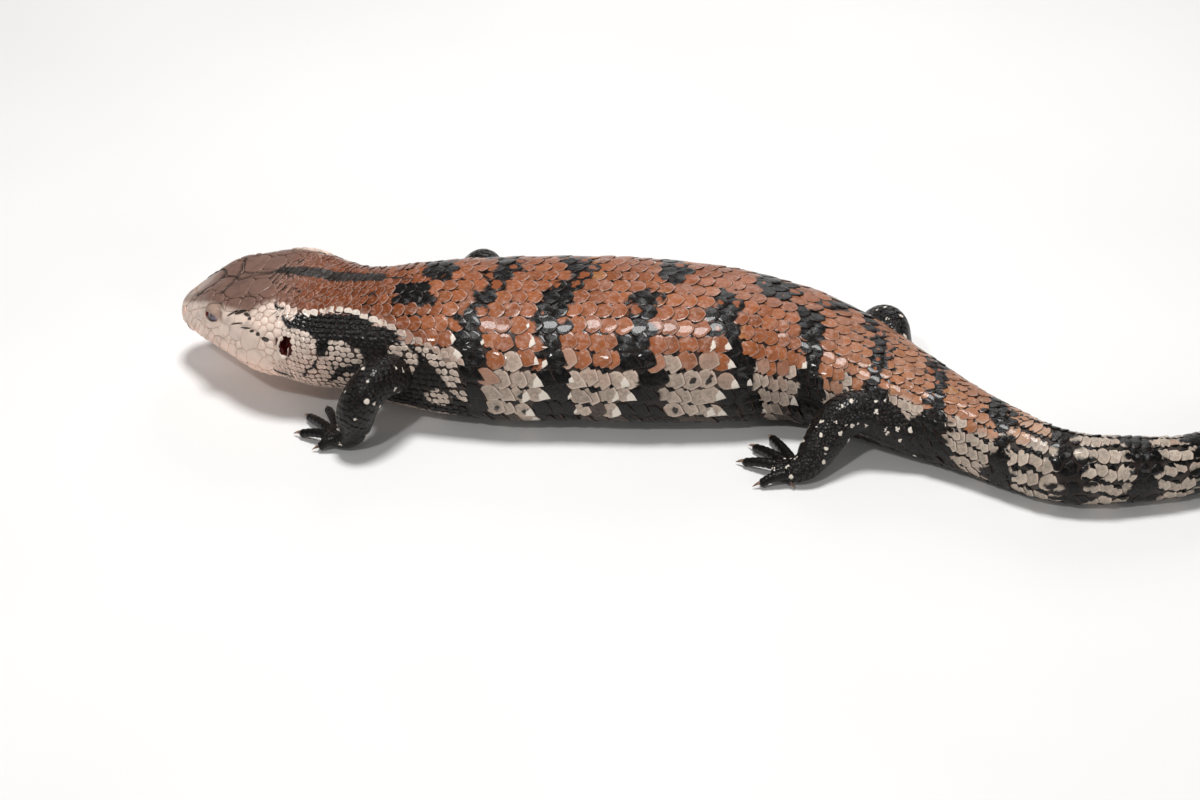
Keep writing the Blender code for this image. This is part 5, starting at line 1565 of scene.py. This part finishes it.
def paintSkin(hide):
    limbSheets = [legSheets[name][0] for name in legNames] + toeSheets
    tree = pointTree([bodyPoints] + [sheet["points"].reshape(-1, 3) for sheet in limbSheets])
    places = readPlaces(hide)
    found = np.array([tree.find(p)[1] for p in places])
    onBody = found < len(bodyPoints)
    i, j = np.divmod(np.where(onBody, found, 0), body["columns"])
    nearest = bodySheet["points"][i, j]
    delta = places - nearest

    def passed(toward):
        # how much of the way from the nearest sheet point to its neighbour the true place has gone
        way = toward - nearest
        return np.clip((delta * way).sum(axis=1) / np.maximum((way**2).sum(axis=1), 1e-6), -1, 1)

    behind = np.minimum(i + 1, len(bodyRows) - 1)
    s = bodyRows[i] + passed(bodySheet["points"][behind, j]) * (bodyRows[behind] - bodyRows[i])
    share = (j - body["columns"] // 2) / (body["columns"] // 2)
    share = share + passed(bodySheet["points"][i, (j + 1) % body["columns"]]) * 2 / body["columns"]
    colour = hueAt(s, share)
    inside, _ = inBand(s, patternShare(s, share))
    colour = np.where((inside > 0)[:, None] & (s > 86)[:, None], paints["black"], colour)
    # the neck's black patch on the hide; its lowest part near the foreleg is painted shade
    patch = inNeckBlack(s, mirroredShare(s, share))
    colour = np.where((patch | inNape(s, share))[:, None], paints["black"], colour)
    size = np.abs(share)
    onFace = easing(size, 0.26, 0.34) * (1 - easing(s, 50, 58))
    colour = mix(colour * 0.42, paints["seam"], np.where(s > 58, 0.85, 0.45))
    besideEar = (easing(size, 0.30, 0.36) * easing(s, 50, 56) * (1 - easing(s, 62, 70))
                 * (1 - easing(size, 0.66, 0.74)))
    colour = mix(colour, np.array(paints["throat"]) * np.array((0.62, 0.45, 0.42)), besideEar)
    colour = np.where((patch & (s < 70))[:, None], paints["black"], colour)
    colour = mix(colour, hueAt(s, share), onFace)
    lipSteps = np.arange(0.0, 40.0, 1.0)
    lips = np.interp(s, lipSteps, [mouthArc(at) for at in lipSteps])
    inLip = (np.abs(size * halfGirth(s) - lips) < 0.8) & (s < head["mouthCornerS"] + 0.5)
    colour = np.where(inLip[:, None], skin["lipColour"], colour)
    colour = np.where(onBody[:, None], colour, paints["black"])
    deep = (delta * bodySheet["normals"][i, j]).sum(axis=1)
    for side in (1, -1):
        eyeCentre, along, across, out = eyePlace(side)
        toEye = places - np.array(eyeCentre)
        away = np.linalg.norm(toEye, axis=1)
        ahead, above = toEye @ np.array(along), toEye @ np.array(across)
        nearEye = away < skin["lidRadius"] + skin["lidReach"]
        lid = mix(paints["snout"], paints["face"], easing(-above, -1.5, 1.5))
        inCorner = easing(ahead, 2.0, 3.2) * (away < skin["lidRadius"] + 0.2) * (np.abs(above) < 1.6)
        lid = mix(lid, skin["eyeCornerColour"], inCorner)
        lid = lid * np.where(away < skin["eyeRadius"] + 0.3, 0.35, 1.0)[:, None]
        colour = np.where(nearEye[:, None], lid, colour)
        for key, shade, reach, depth in (
            ("ear", mix(paints["face"], paints["bright"], 0.3), skin["earReach"], -99.0),
            # inside the ear hole: dark red that is partly painted shade
            ("ear", paints["earRed"], skin["earHole"], skin["holeDepth"]),
            ("nostril", skin["nostrilColour"], skin["nostrilHole"], skin["holeDepth"]),
        ):
            here = np.array(headFrame(*head[key][:2], side)[0])
            inReach = (np.linalg.norm(places - here, axis=1) < reach) & (deep < -depth)
            colour = np.where(inReach[:, None], shade, colour)
    store(hide.data, "paint", joined(colour, 1.0))
    store(hide.data, "chart", np.stack((s, share * halfGirth(s), 0 * s), axis=1))


hide = makeSkin()
paintSkin(hide)
hide.data.shade_smooth()
hide.data.set_sharp_from_angle(angle=math.radians(50))
fleshNodes = ["head", "neck", "torso", "hips", "tail_base", "tail_middle", "tail_end"]
for name in legNames:
    fleshNodes += [name + "_upper", name + "_lower", name.replace("leg", "foot")]
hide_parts(*fleshNodes)
print("skin ready")


# leg scales
legScales = {
    "pitch": 1.75, "across": 2.1, "specks": 0.080, "wind": 7, "lengthShare": 0.70, "widthShare": 1.22,
    "finer": ((0.5, 2.0, 3.0), (1.0, 0.82, 0.62)),  # size by how far down the leg: 0 is its root, 3 the palm
    "inBody": -0.3, "lowest": 0.15,  # scales this deep in the body are left out; none lies lower than this
}
legShape = dict(scaleShape, thick=0.30, sink=-0.05, tilt=0.02, crown=0.045, middle=0.042, shoulder=0.03,
                rim=-0.01)


def layLegScales(name):
    sheet, shares = legSheets[name]
    steps = sheet["along"].mean(axis=1)
    passed = np.concatenate(([0.0], np.cumsum(steps[1:])))
    girth = sheet["around"].sum(axis=1)
    places, row, at = [], 0, 1.0
    while at < passed[-1] - 1.0:
        u = float(np.interp(at, passed, np.arange(len(passed))))
        around = float(np.interp(at, passed, girth))
        fit = float(np.interp(np.interp(at, passed, shares), *legScales["finer"]))
        count = max(10, round(around / (legScales["across"] * fit)))
        for k in range(count):
            turn = (k + 0.5 * (row % 2)) / count
            shift = legScales["wind"] * (turn if turn < 0.5 else 1 - turn) * legScales["pitch"] * fit
            there = float(np.interp(at + shift, passed, np.arange(len(passed))))
            places.append((there, turn * legs["sides"], around / count / 2, legScales["pitch"] * fit))
        at += legScales["pitch"] * fit
        row += 1
    return np.array(places)


def makeLegScales():
    pieces = []
    template, corners = smallTemplate, len(smallTemplate["reach"])
    for name in legNames:
        sheet = legSheets[name][0]
        u, v, halfWide, pitch = layLegScales(name).T
        centre = onSheet(sheet, u, v, 0 * u)
        nearest = np.array([bodyTree.find(p)[1] for p in centre])
        i, j = np.divmod(nearest, body["columns"])
        out = ((centre - bodySheet["points"][i, j]) * bodySheet["normals"][i, j]).sum(axis=1)
        keep = out > legScales["inBody"]
        u, v, halfWide, pitch, centre = u[keep], v[keep], halfWide[keep], pitch[keep], centre[keep]
        count = len(u)
        draw = rng.random((6, count))
        u = u + (rng.random(count) - 0.5) * 0.5 * pitch / sample(sheet["along"], u, v)
        v = v + (rng.random(count) - 0.5) * 0.4 * halfWide / sample(sheet["around"], u, v)
        rims = fullRim(roundRim)[None] * (1 + 0.08 * (rng.random((count, 14, 1)) - 0.5))
        half = pitch * legScales["lengthShare"], halfWide * legScales["widthShare"]
        along, across, lift, local = scaleOffsets(template, legShape, rims, *half, 0.12 * (draw[0] - 0.5))
        stepAlong, stepAround = sample(sheet["along"], u, v), sample(sheet["around"], u, v)
        ringU = u[:, None] + along / stepAlong[:, None]
        ringV = v[:, None] + across / stepAround[:, None]
        points = onSheet(sheet, ringU, ringV, lift)
        points[..., 2] = np.maximum(points[..., 2], legScales["lowest"])
        base = np.array(paints["black"])[None] * (0.7 + 0.9 * draw[1])[:, None]
        speck = draw[2] < legScales["specks"]
        mark = np.tile(np.array(paints["bright"]), (count, 1))
        markSize = np.where(speck, 0.36 + 0.62 * draw[4] ** 3, 0.0)
        attributes = {
            "base": perCorner(joined(base, 0.04), corners),
            "mark": perCorner(joined(mark, markSize), corners),
            "extra": joined(0 * points, 1.0), "plate": joined(local, template["reach"]),
        }
        bakeUv = bakeSpots(0.02 + u / bake["size"] + 0.15 * legNames.index(name), 0.05 + v / bake["legSize"],
                           local)
        pieces.append(joinPlates(name + "_scales", template, points, attributes, bakeUv, legPaint))
    return pieces


legCoat = makeLegScales()


# eyes and claws
eyes = {
    "roughness": 0.08, "coat": 1.0, "coatRoughness": 0.03, "streaks": (1600.0, 3.0), "bump": (0.08, 0.0001),
    "pupil": (0.010, 0.008, 0.012), "iris": (0.17, 0.14, 0.20), "white": (0.42, 0.32, 0.37),
    "pupilEdge": (0.16, 0.30), "irisEdge": (0.50, 0.75),  # as angles from the line of sight
}


def makeEyes():
    made, tree, shader = newMaterial("wet eye", eyes["roughness"], eyes["coat"])
    shader.inputs["Coat Roughness"].default_value = eyes["coatRoughness"]
    angle = split(attribute(tree, "gaze").outputs["Vector"])[0]
    streak = noise(tree, *eyes["streaks"])
    away = plus(angle, times(minus(streak, 0.5), 0.05))
    colour = layered(eyes["pupil"], (
        (between(away, *eyes["pupilEdge"]), eyes["iris"]), (between(away, *eyes["irisEdge"]), eyes["white"]),
    ))
    feed(shader.inputs["Base Color"], colour)
    addBump(tree, shader, streak, *eyes["bump"])
    pieces = []
    for side, word in ((1, "left"), (-1, "right")):
        centre, along, across, out = eyePlace(side)
        axes = rightHanded(along, across, out)
        eye = ballMesh("eyeball_" + word, centre, (skin["eyeRadius"],) * 3, axes, 48)
        eye.data.materials.append(made)
        toward = (readPlaces(eye) - np.array(centre)) / skin["eyeRadius"]
        angle = np.arccos(np.clip(toward @ np.array(out), -1, 1))
        store(eye.data, "gaze", np.stack((angle, 0 * angle, 0 * angle), axis=1))
        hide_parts("eye_" + word)
        pieces.append(eye)
    return pieces


horn = {"roughness": 0.30, "coat": 0.3, "dark": (0.16, 0.09, 0.065), "light": (0.42, 0.29, 0.22),
        "sides": 10, "rings": 9}


def makeClaws():
    made, tree, shader = newMaterial("horn claw", horn["roughness"], horn["coat"])
    patchy = between(noise(tree, 500.0), 0.35, 0.7)
    feed(shader.inputs["Base Color"], blendColour(patchy, horn["dark"], horn["light"]))
    addBump(tree, shader, noise(tree, 2500.0), 0.2, 0.0001)
    parts = []
    angles = 2 * np.pi * np.arange(horn["sides"]) / horn["sides"]
    for name in legNames:
        for root, tip in toeEnds[name]:
            along = (tip - root).normalized()
            flat = Vector((along.x, along.y, 0)).normalized()
            level = Vector((0, 0, 1)).cross(along).normalized()
            rings = []
            for t in np.linspace(0, 1, horn["rings"]):
                centre = tip + flat * (toes["clawLength"] * (t - 0.30)) + Vector((0, 0, 0.75 - 1.5 * t * t))
                size = toes["clawRadius"] * (1 - t) ** 0.7 + 0.07
                ring = np.array(centre) + np.outer(np.cos(angles), level) * size * 0.8
                ring += np.outer(np.sin(angles), (0, 0, 1)) * size
                rings.append(ring)
            parts.append(tubeMesh("claw", makeSheet(np.array(rings))))
    with bpy.context.temp_override(active_object=parts[0], selected_editable_objects=parts):
        bpy.ops.object.join()
    claws = parts[0]
    claws.name = "claws"
    claws.data.materials.append(made)
    claws.data.shade_smooth()
    return claws


eyeballs = makeEyes()
claws = makeClaws()
for piece in [hide, claws, *eyeballs, *coat, *legCoat]:
    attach(piece, "root")
print("eyes and claws ready")

# floor, light and camera
stage = {
    "floorColour": (0.90, 0.89, 0.875), "floorShade": (0.873, 0.8633, 0.84875),
    "lens": 70.0, "elevation": 35.0, "distance": 0.890, "target": (-0.0624, -0.0010, 0.0),
    "floorHalf": 3.0, "sky": (0.96, 0.97, 1.0, 1.0), "worldStrength": 0.16, "litPlace": (0.0, 0.0, 0.02),
    # name, place, size and power
    "lights": (("top", (-0.10, 0.10, 1.15), 0.30, 10.5), ("glint", (-0.45, -0.75, 1.05), 0.10, 3.4),
               ("front", (0.55, -1.10, 0.55), 0.40, 1.6), ("back", (0.15, 0.95, 0.60), 0.50, 2.0)),
}


def makeStage():
    bm = bmesh.new()
    bmesh.ops.create_grid(bm, x_segments=8, y_segments=8, size=stage["floorHalf"])
    floorPaint, tree, shader = newMaterial("pale floor", 0.6)
    patchy = between(noise(tree, 6.0), 0.3, 0.7)
    feed(shader.inputs["Base Color"], blendColour(patchy, stage["floorColour"], stage["floorShade"]))
    floor = finishMesh("floor", bm, floorPaint)
    target = Vector(stage["litPlace"])
    for name, place, size, power in stage["lights"]:
        lamp = bpy.data.lights.new(name, "AREA")
        lamp.shape, lamp.size, lamp.energy = "DISK", size, power
        holder = bpy.data.objects.new(name, lamp)
        holder.location = place
        holder.rotation_euler = (target - Vector(place)).to_track_quat("-Z", "Y").to_euler()
        bpy.context.scene.collection.objects.link(holder)
    world = bpy.data.worlds.new("studio")
    world.use_nodes = True
    sky = world.node_tree.nodes["Background"].inputs
    sky["Color"].default_value, sky["Strength"].default_value = stage["sky"], stage["worldStrength"]
    bpy.context.scene.world = world
    camera = bpy.data.cameras.new("camera")
    camera.lens, camera.sensor_width, camera.clip_start = stage["lens"], 36.0, 0.01
    holder = bpy.data.objects.new("camera", camera)
    tilt = math.radians(stage["elevation"])
    toCamera = Vector((0, -math.cos(tilt), math.sin(tilt)))
    holder.location = Vector(stage["target"]) + toCamera * stage["distance"]
    holder.rotation_euler = (math.pi / 2 - tilt, 0, 0)
    bpy.context.scene.collection.objects.link(holder)
    bpy.context.scene.camera = holder
    bpy.context.scene.view_settings.view_transform = "Standard"


makeStage()
print("stage ready")
